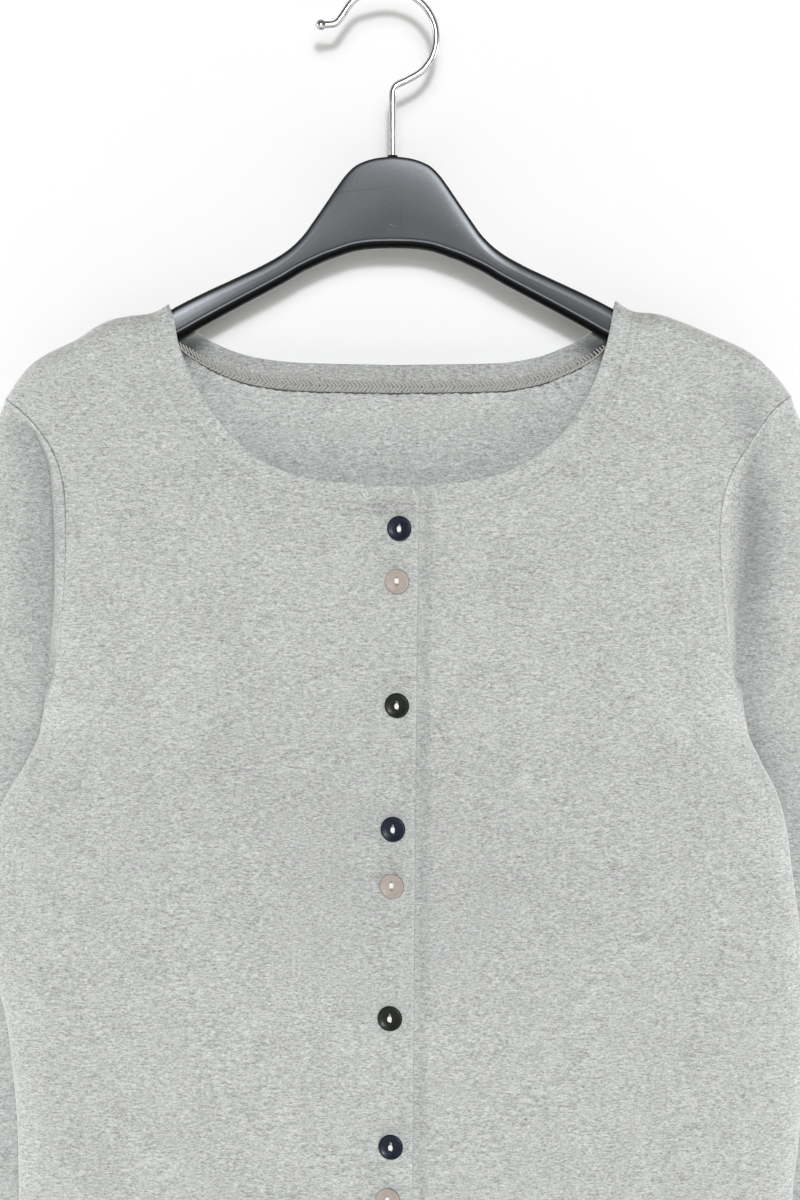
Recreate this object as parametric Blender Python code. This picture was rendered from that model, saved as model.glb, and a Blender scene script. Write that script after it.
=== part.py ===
"""A fine jersey button cardigan hanging on a moulded hanger with a wire hook.

Metres, +Z up, the garment's front faces -Y and the wearer's right side is at -X. The origin is the inside
top of the hook, where the rail bears. "drop" is the distance below the neck point, the highest point of
the neck edge, and every cloth size is given against it.
"""

import math

import bmesh
import bpy
import numpy as np
from mathutils import Matrix, Vector

# Cloth.
WALL = 0.0014
BAND_WALL = 0.0024
BAND_WIDTH = 0.0240
BAND_TAPER = 0.0030
UNDER_BAND_WIDTH = 0.0235
UNDER_SUNK = 0.0010
UNDER_RAMP = 0.0080
NECK_HEM = (0.0, 0.0050, 0.0100, 0.0130)
LAYER_GAP = 0.0004
SEAM_GAP = 0.0003
NECK_POINT_Z = -0.1435
HEM_DROP = 0.575
UNDERARM_DROP = 0.195
FACING_WALL = 0.0012

# The shoulder rolls over the hanger on this radius, and the depth behind it grows over this distance.
RIDGE_RADIUS = 0.0100
RIDGE_RISE = 0.0450
FRONT_SQUARENESS = 2.4
BACK_SQUARENESS = 2.2
RIDGE_SQUARENESS = 6.0
SIDE_BEND = 4

# Hook and hanger.
WIRE_RADIUS = 0.0016
HOOK_RADIUS = 0.0220
HOOK_OFFSET = -0.0018
HANGER_HALF_DEPTH = 0.0060
HANGER_EDGE = 0.0035
HANGER_CLEARANCE = 0.0018
STEM_HOLE_DEPTH = 0.0120
STEM_HOLE_SIDES = 16

# Buttons; the profile runs from the back's rim over the edge to the dished face, in radii and thicknesses.
BUTTON_RADIUS = 0.00575
BUTTON_THICKNESS = 0.0020
BUTTON_DISH = 0.0005
BUTTON_HOLE_RADIUS = 0.0007
BUTTON_HOLE_SPACING = 0.0032
BUTTON_PROFILE = (
    (0.84, 0.0),
    (1.00, 0.28),
    (1.00, 0.78),
    (0.93, 1.0),
    (0.78, 1.0),
    (0.60, 1.0 - BUTTON_DISH / BUTTON_THICKNESS),
)
BUTTON_SIDES = 16
THREAD_HOLE_SIDES = 8


class Table:
    """Rows of sizes under named columns, read between its rows on a smooth curve."""

    def __init__(self, columns, *rows):
        self.columns = columns.split()
        self.rows = np.array(rows, float)

    def column(self, name):
        return self.rows[:, self.columns.index(name)]

    def read(self, name, at):
        return monotone(self.rows[:, 0], self.column(name), at)


# The torso's rings: half-widths of the wearer's right and left, depths in front of and behind the hanger's
# plane, and where the side line lies. Above the underarm the sleeve hides the ring's sides.
TORSO = Table(
    "drop    right   left    front   back    side",
    (-0.005, 0.2000, 0.2000, 0.0160, 0.0130, 0.0000),
    (0.045, 0.1940, 0.1960, 0.0190, 0.0145, 0.0000),
    (0.100, 0.1740, 0.1730, 0.0250, 0.0180, 0.0005),
    (0.150, 0.1655, 0.1655, 0.0310, 0.0210, 0.0010),
    (0.195, 0.1620, 0.1632, 0.0345, 0.0235, 0.0010),
    (0.210, 0.1675, 0.1687, 0.0355, 0.0240, -0.0020),
    (0.225, 0.1762, 0.1760, 0.0362, 0.0240, -0.0055),
    (0.240, 0.1828, 0.1800, 0.0367, 0.0240, -0.0080),
    (0.265, 0.1866, 0.1832, 0.0370, 0.0240, -0.0095),
    (0.290, 0.1850, 0.1864, 0.0370, 0.0240, -0.0100),
    (0.335, 0.1755, 0.1886, 0.0362, 0.0242, -0.0100),
    (0.385, 0.1711, 0.1855, 0.0350, 0.0245, -0.0090),
    (0.410, 0.1708, 0.1828, 0.0345, 0.0250, -0.0080),
    (0.480, 0.1770, 0.1830, 0.0355, 0.0265, -0.0070),
    (0.575, 0.1870, 0.1890, 0.0385, 0.0290, -0.0060),
)

# The shoulder's ridge from the neck point to the shoulder tip.
RIDGE_RIGHT = Table(
    "x       drop",
    (0.1040, 0.0005),
    (0.1080, 0.0030),
    (0.1130, 0.0048),
    (0.1200, 0.0056),
    (0.1280, 0.0070),
    (0.1350, 0.0096),
    (0.1456, 0.0164),
    (0.1603, 0.0237),
    (0.1660, 0.0275),
    (0.1708, 0.0325),
    (0.1785, 0.0440),
)
RIDGE_LEFT = Table(
    "x       drop",
    (0.1035, -0.0010),
    (0.1080, 0.0022),
    (0.1130, 0.0040),
    (0.1187, 0.0044),
    (0.1234, 0.0051),
    (0.1304, 0.0073),
    (0.1480, 0.0146),
    (0.1656, 0.0231),
    (0.1756, 0.0319),
    (0.1838, 0.0425),
)

# The front neckline from the centre to the neck point, the back one, and the armholes from tip to underarm.
NECK_RIGHT = Table(
    "x       drop",
    (0.0000, 0.0850),
    (0.0294, 0.0830),
    (0.0451, 0.0798),
    (0.0562, 0.0757),
    (0.0673, 0.0684),
    (0.0768, 0.0590),
    (0.0847, 0.0484),
    (0.0926, 0.0348),
    (0.0990, 0.0188),
    (0.1016, 0.0060),
    (0.1040, 0.0005),
)
NECK_LEFT = Table(
    "x       drop",
    (0.0000, 0.0850),
    (0.0340, 0.0830),
    (0.0500, 0.0792),
    (0.0626, 0.0735),
    (0.0736, 0.0653),
    (0.0846, 0.0524),
    (0.0910, 0.0412),
    (0.0966, 0.0268),
    (0.0998, 0.0156),
    (0.1020, 0.0040),
    (0.1035, -0.0010),
)
BACK_NECK_RIGHT = Table(
    "x       drop",
    (0.0000, 0.0279),
    (0.0430, 0.0269),
    (0.0615, 0.0249),
    (0.0740, 0.0216),
    (0.0825, 0.0178),
    (0.0900, 0.0136),
    (0.0970, 0.0086),
    (0.1040, 0.0005),
)
BACK_NECK_LEFT = Table(
    "x       drop",
    (0.0000, 0.0279),
    (0.0495, 0.0271),
    (0.0680, 0.0241),
    (0.0805, 0.0193),
    (0.0912, 0.0136),
    (0.0975, 0.0082),
    (0.1035, -0.0010),
)
ARMHOLE_RIGHT = Table(
    "x       drop",
    (0.1785, 0.0440),
    (0.1697, 0.0510),
    (0.1610, 0.0605),
    (0.1535, 0.0740),
    (0.1500, 0.0900),
    (0.1494, 0.1080),
    (0.1500, 0.1300),
    (0.1515, 0.1500),
    (0.1545, 0.1700),
    (0.1620, 0.1950),
)
ARMHOLE_LEFT = Table(
    "x       drop",
    (0.1838, 0.0425),
    (0.1749, 0.0498),
    (0.1690, 0.0575),
    (0.1620, 0.0680),
    (0.1556, 0.0785),
    (0.1508, 0.0935),
    (0.1496, 0.1080),
    (0.1504, 0.1250),
    (0.1530, 0.1540),
    (0.1562, 0.1720),
    (0.1632, 0.1950),
)
BACK_ARMHOLE_RIGHT = Table(
    "x       drop",
    (0.1785, 0.0440),
    (0.1700, 0.0560),
    (0.1620, 0.0740),
    (0.1575, 0.1000),
    (0.1572, 0.1300),
    (0.1595, 0.1650),
    (0.1620, 0.1950),
)
BACK_ARMHOLE_LEFT = Table(
    "x       drop",
    (0.1838, 0.0425),
    (0.1730, 0.0560),
    (0.1640, 0.0740),
    (0.1585, 0.1000),
    (0.1578, 0.1300),
    (0.1603, 0.1650),
    (0.1632, 0.1950),
)

# Where the buttoned edge of the right front runs, towards the wearer's left.
PLACKET = Table(
    "drop    edge",
    (0.080, 0.0118),
    (0.200, 0.0103),
    (0.300, 0.0094),
    (0.410, 0.0086),
    (0.575, 0.0078),
)

# Rows of the panels, as shares: down the armhole from the tip, down the side from the underarm, down the
# front neckline from the neck point to the button band, and down the buttoned edge from the neckline.
ARMHOLE_ROWS = (0.0, 0.010, 0.033, 0.067, 0.098, 0.205, 0.335, 0.470, 0.625, 0.790, 1.0)
SIDE_ROWS = (
    *(0.040, 0.079, 0.120, 0.185, 0.250, 0.320, 0.390),
    *(0.460, 0.530, 0.600, 0.680, 0.760, 0.840, 0.920, 1.0),
)
NECK_ROWS = (0.0, 0.014, 0.045, 0.095, 0.180, 0.310, 0.460, 0.620, 0.800, 1.0)
EDGE_ROWS = (0.060, 0.125, 0.190, 0.260, 0.330, 0.400, 0.475, 0.550, 0.625, 0.700, 0.775, 0.850, 0.925, 1.0)

# Columns of the panels: across a front past its band, and along the back neckline from the neck point to
# the middle. The back takes every second column of the front along the shoulder.
FRONT_COLUMNS = 11
BACK_NECK_COLUMNS = (0.0, 0.010, 0.030, 0.065, 0.120, 0.200, 0.350, 0.560, 0.780, 1.0)
NEAR_ROWS = 4
FACING_ROWS = 5
RIDGE_FADE = 0.050

# The sleeve's rings below the armhole: centre outwards from the middle, centre behind the hanger's plane,
# and half of its width and of its depth.
SLEEVE = Table(
    "drop   out     behind  wide    deep",
    (0.250, 0.2070, 0.0300, 0.0510, 0.0215),
    (0.320, 0.2060, 0.0300, 0.0490, 0.0205),
    (0.390, 0.2040, 0.0290, 0.0470, 0.0190),
    (0.460, 0.2030, 0.0285, 0.0440, 0.0175),
    (0.530, 0.2030, 0.0265, 0.0410, 0.0160),
    (0.610, 0.2040, 0.0240, 0.0375, 0.0145),
)
SLEEVE_DROPS = (0.275, 0.300, 0.330, 0.360, 0.395, 0.430, 0.470, 0.510, 0.560, 0.610)
CAP_STEPS = (0.05, 0.13, 0.24, 0.37, 0.51, 0.66, 0.82, 1.0)

# How the cloth leaves the armhole, round it from the tip by the front, and the angle that it reaches on the
# first full ring. The right sleeve's front rolls outwards before it dives behind the body.
CAP_RIGHT = Table(
    "row    out    behind  up     reach  angle",
    (0.0, 0.30, 0.00, -0.95, 0.090, 0.0),
    (2.0, 0.45, 0.00, -0.89, 0.080, 22.0),
    (4.0, 0.80, -0.10, -0.59, 0.050, 50.0),
    (6.0, 0.98, -0.05, -0.19, 0.034, 86.0),
    (8.0, 0.85, 0.48, -0.20, 0.042, 122.0),
    (9.0, 0.82, 0.52, -0.22, 0.058, 148.0),
    (10.0, 0.80, 0.36, -0.46, 0.055, 178.0),
    (11.0, 0.80, 0.46, -0.38, 0.052, 206.0),
    (13.0, 0.62, 0.45, -0.64, 0.055, 256.0),
    (16.0, 0.70, 0.20, -0.69, 0.070, 310.0),
    (18.0, 0.50, 0.05, -0.86, 0.080, 338.0),
    (20.0, 0.30, 0.00, -0.95, 0.090, 360.0),
)
CAP_LEFT = Table(
    "row    out    behind  up     reach  angle",
    (0.0, 0.28, 0.00, -0.96, 0.090, 0.0),
    (2.0, 0.40, 0.05, -0.91, 0.080, 22.0),
    (4.0, 0.70, 0.15, -0.70, 0.050, 50.0),
    (6.0, 0.75, 0.60, -0.28, 0.034, 86.0),
    (8.0, 0.68, 0.70, -0.20, 0.042, 122.0),
    (9.0, 0.82, 0.52, -0.22, 0.058, 148.0),
    (10.0, 0.80, 0.36, -0.46, 0.055, 178.0),
    (11.0, 0.80, 0.46, -0.38, 0.052, 206.0),
    (13.0, 0.62, 0.45, -0.64, 0.055, 256.0),
    (16.0, 0.70, 0.20, -0.69, 0.070, 310.0),
    (18.0, 0.50, 0.05, -0.86, 0.080, 338.0),
    (20.0, 0.28, 0.00, -0.96, 0.090, 360.0),
)
CAP_ARRIVAL = 0.92

# The thinnest that a wall gets where it is mitred at the armhole seam, against its own thickness.
LEAST_MITRE = 0.62

# Samples of a smooth curve when it is measured, how near points are one, and where an edge counts as sharp.
CURVE_SAMPLES = 400
WELD = 0.00001
SHARP_ANGLE = math.radians(40)

# Hanger outline on one side: heights above the neck point. Beyond the neck its top follows the cloth.
HANGER = Table(
    "x       top      bottom",
    (0.0000, 0.0680, 0.0258),
    (0.0080, 0.0670, 0.0256),
    (0.0165, 0.0640, 0.0246),
    (0.0215, 0.0595, 0.0232),
    (0.0260, 0.0534, 0.0216),
    (0.0306, 0.0466, 0.0200),
    (0.0354, 0.0396, 0.0178),
    (0.0420, 0.0306, 0.0146),
    (0.0490, 0.0242, 0.0104),
    (0.0590, 0.0182, 0.0050),
    (0.0730, 0.0115, -0.0024),
    (0.0870, 0.0050, -0.0100),
    (0.1000, -0.0016, -0.0172),
    (0.1060, -0.0050, -0.0200),
    (0.1150, -0.0068, -0.0235),
    (0.1300, -0.0100, -0.0300),
    (0.1450, -0.0180, -0.0375),
    (0.1560, -0.0235, -0.0420),
    (0.1640, -0.0290, -0.0440),
    (0.1680, -0.0350, -0.0430),
)

# The hook's wire past its round arc, against the arc's centre; the ball closes its tip.
HOOK_LEAD = Table(
    "x       z",
    (0.0018, -0.0265),
    (0.0030, -0.0227),
    (0.0085, -0.0197),
    (0.0150, -0.0158),
)
HOOK_TAIL = Table(
    "x        z       swell",
    (-0.0110, 0.0200, 1.0),
    (-0.0143, 0.0187, 1.0),
    (-0.0165, 0.0170, 1.0),
    (-0.0183, 0.0149, 1.0),
    (-0.0212, 0.0106, 1.0),
    (-0.0227, 0.0085, 1.0),
    (-0.0238, 0.0072, 1.0),
    (-0.0251, 0.0064, 1.0),
    (-0.0267, 0.0061, 1.0),
    (-0.0294, 0.0060, 1.05),
    (-0.0302, 0.0060, 1.40),
    (-0.0314, 0.0059, 1.55),
    (-0.0326, 0.0058, 1.30),
    (-0.0334, 0.0057, 0.60),
)
HOOK_ARC_START = -28.0
HOOK_ARC_END = 105.0
HOOK_ARC_STEPS = 12

# Buttons down the placket: drop, place across, and how far the disc leans to its right and to its top.
BUTTONS = Table(
    "drop    x        colour  lean_right  lean_top",
    (0.1047, 0.0034, 0, 16.0, 4.0),
    (0.1288, 0.0023, 1, 15.0, 9.0),
    (0.1850, 0.0023, 2, 15.0, 7.0),
    (0.2408, 0.0005, 0, 14.0, 5.0),
    (0.2664, 0.0000, 1, 17.0, 8.0),
    (0.3260, -0.0009, 2, 14.0, 6.0),
    (0.3840, -0.0005, 0, 15.0, 5.0),
    (0.4080, -0.0018, 1, 16.0, 8.0),
    (0.4690, -0.0016, 2, 15.0, 6.0),
    (0.5270, -0.0018, 0, 14.0, 5.0),
    (0.5520, -0.0022, 1, 16.0, 8.0),
)
BUTTON_COLOURS = (
    ("button_navy", (0.012, 0.018, 0.035)),
    ("button_beige", (0.42, 0.33, 0.28)),
    ("button_olive", (0.022, 0.022, 0.020)),
)

CLOTH = ("cardigan_jersey", (0.50, 0.52, 0.50), 0.95, 0.0)
PLASTIC = ("hanger_plastic", (0.045, 0.047, 0.050), 0.38, 0.0)
CHROME = ("hook_chrome", (0.75, 0.75, 0.75), 0.18, 1.0)
BUTTON_ROUGHNESS = 0.28


def monotone(knots, values, at):
    """A smooth curve through the values that never overshoots them."""
    steps = np.diff(knots)
    slopes = np.diff(values) / steps
    tangents = np.zeros(len(knots))
    for k in range(1, len(knots) - 1):
        before, after = slopes[k - 1], slopes[k]
        if before * after > 0:
            weight_after = 2 * steps[k] + steps[k - 1]
            weight_before = steps[k] + 2 * steps[k - 1]
            tangents[k] = (weight_after + weight_before) / (weight_after / before + weight_before / after)
    tangents[0], tangents[-1] = slopes[0], slopes[-1]
    at = np.clip(np.asarray(at, float), knots[0], knots[-1])
    k = np.clip(np.searchsorted(knots, at, side="right") - 1, 0, len(steps) - 1)
    t = (at - knots[k]) / steps[k]
    return (
        values[k] * (1 + 2 * t) * (1 - t) ** 2
        + tangents[k] * steps[k] * t * (1 - t) ** 2
        + values[k + 1] * t**2 * (3 - 2 * t)
        + tangents[k + 1] * steps[k] * t**2 * (t - 1)
    )


def along(points, fractions):
    """Points at these fractions of the length of a smooth curve through the given points."""
    points = np.asarray(points, float)
    knots = np.concatenate([[0.0], np.cumsum(np.linalg.norm(np.diff(points, axis=0), axis=1))])
    fine = np.linspace(0.0, knots[-1], CURVE_SAMPLES)
    curve = np.stack([monotone(knots, column, fine) for column in points.T], axis=1)
    length = np.concatenate([[0.0], np.cumsum(np.linalg.norm(np.diff(curve, axis=0), axis=1))])
    at = np.asarray(fractions) * length[-1]
    return np.stack([np.interp(at, length, column) for column in curve.T], axis=1)


def unit(vectors):
    """The vectors at length 1."""
    return vectors / np.maximum(np.linalg.norm(vectors, axis=-1, keepdims=True), 1e-12)


def width(x, drop):
    """Half-width of the torso's ring on the side of x."""
    return np.where(x < 0, TORSO.read("right", drop), TORSO.read("left", drop))


def ridge_drop(x):
    """The shoulder ridge's drop at x, level inside the neck."""
    x = np.asarray(x, float)
    return np.where(x < 0, RIDGE_RIGHT.read("drop", -x), RIDGE_LEFT.read("drop", x))


def depth(x, drop, towards):
    """How far the cloth's outer face stands from the hanger's plane, towards the front or the back."""
    squareness = FRONT_SQUARENESS if towards == "front" else BACK_SQUARENESS
    share = np.clip(np.abs(x) / width(x, drop), 0.0, 1.0)
    below = np.clip(drop - ridge_drop(x), 0.0, None)
    roll = RIDGE_RADIUS * np.sqrt(1 - (1 - np.minimum(below / RIDGE_RADIUS, 1.0)) ** 2)
    roll = roll * (1 - share**RIDGE_SQUARENESS) ** (1 / RIDGE_SQUARENESS)
    rise = 1 - np.exp(-below / RIDGE_RISE)
    belly = (TORSO.read(towards, drop) - RIDGE_RADIUS) * rise
    return roll + belly * (1 - share**squareness) ** (1 / squareness)


def surface(x, drop, towards):
    """Points of the cloth's outer face."""
    share = np.clip(np.abs(x) / width(x, drop), 0.0, 1.0)
    sign = -1.0 if towards == "front" else 1.0
    y = TORSO.read("side", drop) * share**SIDE_BEND + sign * depth(x, drop, towards)
    return np.stack([x, y, NECK_POINT_Z - drop], axis=-1)


def turn_of(points):
    """(x, drop) as (turn, drop), where turn runs from -1 to 1 round the torso's ring from side to side."""
    share = points[..., 0] / width(points[..., 0], points[..., 1])
    return np.stack([np.arcsin(np.clip(share, -1, 1)) / (math.pi / 2), points[..., 1]], axis=-1)


def place_of(points):
    """(turn, drop) back as (x, drop)."""
    turn, drop = points[..., 0], points[..., 1]
    return np.stack([np.sin(turn * math.pi / 2) * width(turn, drop), drop], axis=-1)


def fill_patch(top, bottom, first, last):
    """A grid between four edges: rows run from top to bottom, columns from first to last."""
    down = (last[:, 1] - last[0, 1]) / (last[-1, 1] - last[0, 1])
    across = np.linspace(0, 1, len(top))
    v, u = down[:, None, None], across[None, :, None]
    corners = (1 - v) * ((1 - u) * top[0] + u * top[-1]) + v * ((1 - u) * bottom[0] + u * bottom[-1])
    edges = (1 - v) * top[None] + v * bottom[None] + (1 - u) * first[:, None] + u * last[:, None]
    return edges - corners


def plan_back(top, bottom, first, last, shoulder):
    """The back's grid as (x, drop): its first rows stay level with the top edge, the rest run to the hem."""
    fade = np.zeros((len(top), 1))
    fade[:shoulder, 0] = np.linspace(1, 0, shoulder)
    grid = np.zeros((len(first), len(top), 2))
    for row in range(NEAR_ROWS + 1):
        level = first[row] - first[0]
        level[0] = 0.0
        moved = fade * (first[row] - first[0]) + fade[::-1] * (last[row] - last[0])
        grid[row] = top + moved + (1 - fade - fade[::-1]) * level
    near = grid[NEAR_ROWS]
    below = slice(NEAR_ROWS, None)
    edges = [turn_of(points) for points in (near, bottom, first[below], last[below])]
    grid[below] = place_of(fill_patch(*edges))
    grid[:, 0], grid[:, -1] = first, last
    return grid


def outer_edge(armhole, side):
    """A panel's outer edge as (x, drop): down the armhole, then down the side seam to the hem."""
    sign = -1.0 if side == "right" else 1.0
    hole = along(armhole.rows, ARMHOLE_ROWS)
    drops = UNDERARM_DROP + np.array(SIDE_ROWS) * (HEM_DROP - UNDERARM_DROP)
    below = np.stack([TORSO.read(side, drops), drops], axis=-1)
    return np.concatenate([hole, below]) * (sign, 1.0)


def band_share(side, x, drop):
    """How far a front is doubled at x: 1 in its button band, 0 past the band's turned edge."""
    past = x - PLACKET.read("edge", drop)
    if side == "right":
        return np.clip((BAND_WIDTH + BAND_TAPER + past) / BAND_TAPER, 0, 1)
    return np.clip((UNDER_RAMP - past) / (UNDER_RAMP - UNDER_SUNK), 0, 1)


def front_panel(side):
    """A front's outer grid: column 0 is its neckline and buttoned edge, the last its armhole and side."""
    sign = -1.0 if side == "right" else 1.0
    neck, armhole = {"right": (NECK_RIGHT, ARMHOLE_RIGHT), "left": (NECK_LEFT, ARMHOLE_LEFT)}[side]
    band = {
        "right": (0.0, -BAND_WIDTH / 2, -BAND_WIDTH, -BAND_WIDTH - BAND_TAPER),
        "left": (-UNDER_BAND_WIDTH, UNDER_SUNK, (UNDER_SUNK + UNDER_RAMP) / 2, UNDER_RAMP),
    }[side]
    outer, inner, corner = {"right": (band[3], band[2], band[0]), "left": (band[3], band[1], band[0])}[side]
    neck_drop = float(neck.rows[0, 1])
    edge = float(PLACKET.read("edge", neck_drop))
    sides = neck.rows[neck.rows[:, 0] > abs(edge + outer)][::-1] * (sign, 1.0)
    outer_drop = float(neck.read("drop", abs(edge + outer)))
    neckline = along(np.vstack([sides, [(edge + outer, outer_drop)]]), NECK_ROWS)
    turned = [(edge + inner, neck_drop), (edge + corner, neck_drop)]
    drops = neck_drop + np.array(EDGE_ROWS) * (HEM_DROP - neck_drop)
    placket = np.stack([PLACKET.read("edge", drops) + corner, drops], axis=-1)
    first = np.concatenate([neckline, turned, placket])
    last = outer_edge(armhole, side)
    start, end = turn_of(first), turn_of(last)
    neck_rows = len(NECK_ROWS) + 1
    grid = np.zeros((len(first), len(band) + FRONT_COLUMNS, 2))
    for row, (x, drop) in enumerate(first):
        hem = x + sign * np.array(NECK_HEM) if row < neck_rows else x - corner + np.array(band)
        turns = np.arcsin(hem / width(np.array(sign), drop)) / (math.pi / 2)
        turns = np.concatenate([turns, np.linspace(turns[-1], end[row, 0], FRONT_COLUMNS + 1)[1:]])
        share = (turns - turns[0]) / (turns[-1] - turns[0])
        drops = start[row, 1] + share * (end[row, 1] - start[row, 1])
        grid[row] = place_of(np.stack([turns, drops], axis=-1))
    sag = ridge_drop(grid[0, :, 0]) - grid[0, :, 1]
    below = np.concatenate([[0.0], np.cumsum(np.linalg.norm(np.diff(last, axis=0), axis=1))])
    grid[..., 1] += np.exp(-below / RIDGE_FADE)[:, None] * sag
    grid[:, -1] = last
    for column, offset in enumerate(band):
        grid[neck_rows:, column, 0] = PLACKET.read("edge", grid[neck_rows:, column, 1]) + offset
    points = surface(grid[..., 0], grid[..., 1], "front")
    doubled = band_share(side, grid[..., 0], grid[..., 1])
    if side == "left":
        points[..., 1] += (BAND_WALL + LAYER_GAP) * doubled * doubled * (3 - 2 * doubled)
    return points, WALL + (BAND_WALL - WALL) * doubled


def back_panel(fronts):
    """Outer grid of the back, from the wearer's right side to the left, and the columns of one shoulder."""
    right, left = outer_edge(BACK_ARMHOLE_RIGHT, "right"), outer_edge(BACK_ARMHOLE_LEFT, "left")
    shoulders = {}
    for side, (points, _) in fronts.items():
        ridge = points[0, ::-2]
        shoulders[side] = np.stack([ridge[:, 0], NECK_POINT_Z - ridge[:, 2]], axis=1)
    neck_right = along(BACK_NECK_RIGHT.rows[::-1] * (-1.0, 1.0), BACK_NECK_COLUMNS)
    neck_left = along(BACK_NECK_LEFT.rows[::-1], BACK_NECK_COLUMNS)[::-1]
    top = np.vstack([shoulders["right"], neck_right[1:], neck_left[1:-1], shoulders["left"][::-1]])
    turns = np.linspace(-1, 1, len(top))
    hem = place_of(np.stack([turns, np.full(len(turns), HEM_DROP)], axis=-1))
    shoulder = len(shoulders["right"])
    grid = plan_back(top, hem, right, left, shoulder)
    return surface(grid[..., 0], grid[..., 1], "back"), shoulder


def normals_of(points, closed=False):
    """Unit normals of a grid, on the side that its rows and columns turn to; closed wraps the columns."""
    if closed:
        wrapped = np.concatenate([points[:, -1:], points, points[:, :1]], axis=1)
        across = (wrapped[:, 2:] - wrapped[:, :-2]) / 2
    else:
        across = np.gradient(points, axis=1)
    return unit(np.cross(np.gradient(points, axis=0), across))


def seam_normals(line, outside):
    """Normals along a seam that lies in the hanger's plane or at the side: square to the seam and to Y."""
    tangent = np.gradient(line, axis=0)
    found = unit(np.cross(tangent, (0.0, 1.0, 0.0)))
    return found * np.where((found * outside).sum(axis=1, keepdims=True) < 0, -1.0, 1.0)


def cloth_object(name, outer, inner, closed=False):
    """A closed wall between two grids of points; closed joins the last column to the first."""
    mesh = bmesh.new()
    sheets = [[[mesh.verts.new(point) for point in row] for row in grid] for grid in (outer, inner)]
    rows, columns = outer.shape[:2]
    spans = [(j, (j + 1) % columns) for j in range(columns if closed else columns - 1)]
    for sheet in sheets:
        for i in range(rows - 1):
            for j, k in spans:
                mesh.faces.new((sheet[i][j], sheet[i][k], sheet[i + 1][k], sheet[i + 1][j]))
    out, back = sheets
    for i in (0, rows - 1):
        for j, k in spans:
            mesh.faces.new((out[i][j], out[i][k], back[i][k], back[i][j]))
    if not closed:
        for j in (0, columns - 1):
            for i in range(rows - 1):
                mesh.faces.new((out[i][j], out[i + 1][j], back[i + 1][j], back[i][j]))
    bmesh.ops.triangulate(mesh, faces=mesh.faces, quad_method="SHORT_EDGE")
    bmesh.ops.recalc_face_normals(mesh, faces=mesh.faces)
    return finish_mesh(name, mesh, CLOTH)


def material_of(name, colour, roughness, metallic):
    found = bpy.data.materials.get(name) or bpy.data.materials.new(name)
    found.use_nodes = True
    shader = found.node_tree.nodes["Principled BSDF"]
    shader.inputs["Base Color"].default_value = (*colour, 1.0)
    shader.inputs["Roughness"].default_value = roughness
    shader.inputs["Metallic"].default_value = metallic
    found.diffuse_color = (*colour, 1.0)
    return found


def finish_mesh(name, mesh, material):
    """The bmesh as a named part with its material."""
    data = bpy.data.meshes.new(name)
    mesh.to_mesh(data)
    mesh.free()
    data.shade_smooth()
    data.set_sharp_from_angle(angle=SHARP_ANGLE)
    return add_object(name, data, material)


def add_object(name, data, material):
    obj = bpy.data.objects.new(name, data)
    if not data.materials:
        data.materials.append(material_of(*material))
    parts.objects.link(obj)
    return obj


def cap_grid(ring, side):
    """Outer grid of a sleeve from its armhole ring to the cuff."""
    sign = -1.0 if side == "right" else 1.0
    table = CAP_RIGHT if side == "right" else CAP_LEFT
    stations = np.arange(len(ring), dtype=float)
    leave = np.stack([table.read(name, stations) for name in ("out", "behind", "up")], axis=1)
    leave = unit(leave) * table.read("reach", stations)[:, None] * (sign, 1.0, 1.0)
    angle = np.radians(table.read("angle", stations))

    def ring_at(drop):
        out, behind = SLEEVE.read("out", drop), SLEEVE.read("behind", drop)
        wide, deep = SLEEVE.read("wide", drop), SLEEVE.read("deep", drop)
        x = sign * (out + wide * np.cos(angle))
        y = behind - deep * np.sin(angle)
        return np.stack([x, y, np.full(len(angle), NECK_POINT_Z - drop)], axis=1)

    target = ring_at(float(SLEEVE.rows[0, 0]))
    arrive = np.array((0.0, 0.0, -CAP_ARRIVAL)) * np.linalg.norm(target - ring, axis=1, keepdims=True)
    rows = [ring]
    for t in CAP_STEPS:
        rows.append(
            ring * (1 + 2 * t) * (1 - t) ** 2
            + leave * t * (1 - t) ** 2
            + target * t**2 * (3 - 2 * t)
            + arrive * t**2 * (t - 1)
        )
    rows += [ring_at(drop) for drop in SLEEVE_DROPS]
    return np.array(rows)


def looking(found, point, direction):
    """The normals, all turned over if the one at this point looks against the direction."""
    return found if np.dot(found[point], direction) > 0 else -found


def sleeve_walls(ring, torso, side):
    """A sleeve's outer and inner grids, the seam's inner ring, and which way the sleeve leaves the seam.

    The ring is the seam's line on the outer face, torso the panels' normals there. At the seam the wall
    stands on the bisector of both cloths, so that the panels and the sleeve end on one face."""
    grid = cap_grid(ring, side)
    sign = -1.0 if side == "right" else 1.0
    found = looking(normals_of(grid, closed=True), (len(CAP_STEPS) + 2, 0), (sign, 0.0, 0.0))
    joint = unit(torso + found[0])
    wrapped = np.concatenate([ring[-1:], ring, ring[:1]])
    away = unit(np.cross(joint, unit(wrapped[2:] - wrapped[:-2])))
    away = away * np.where((away * (grid[1] - ring)).sum(axis=1, keepdims=True) < 0, -1.0, 1.0)
    reach = WALL / np.clip((joint * torso).sum(axis=1, keepdims=True), LEAST_MITRE, 1.0)
    inner = grid - found * WALL
    inner[0] = ring - joint * reach
    return grid, inner, away


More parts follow.
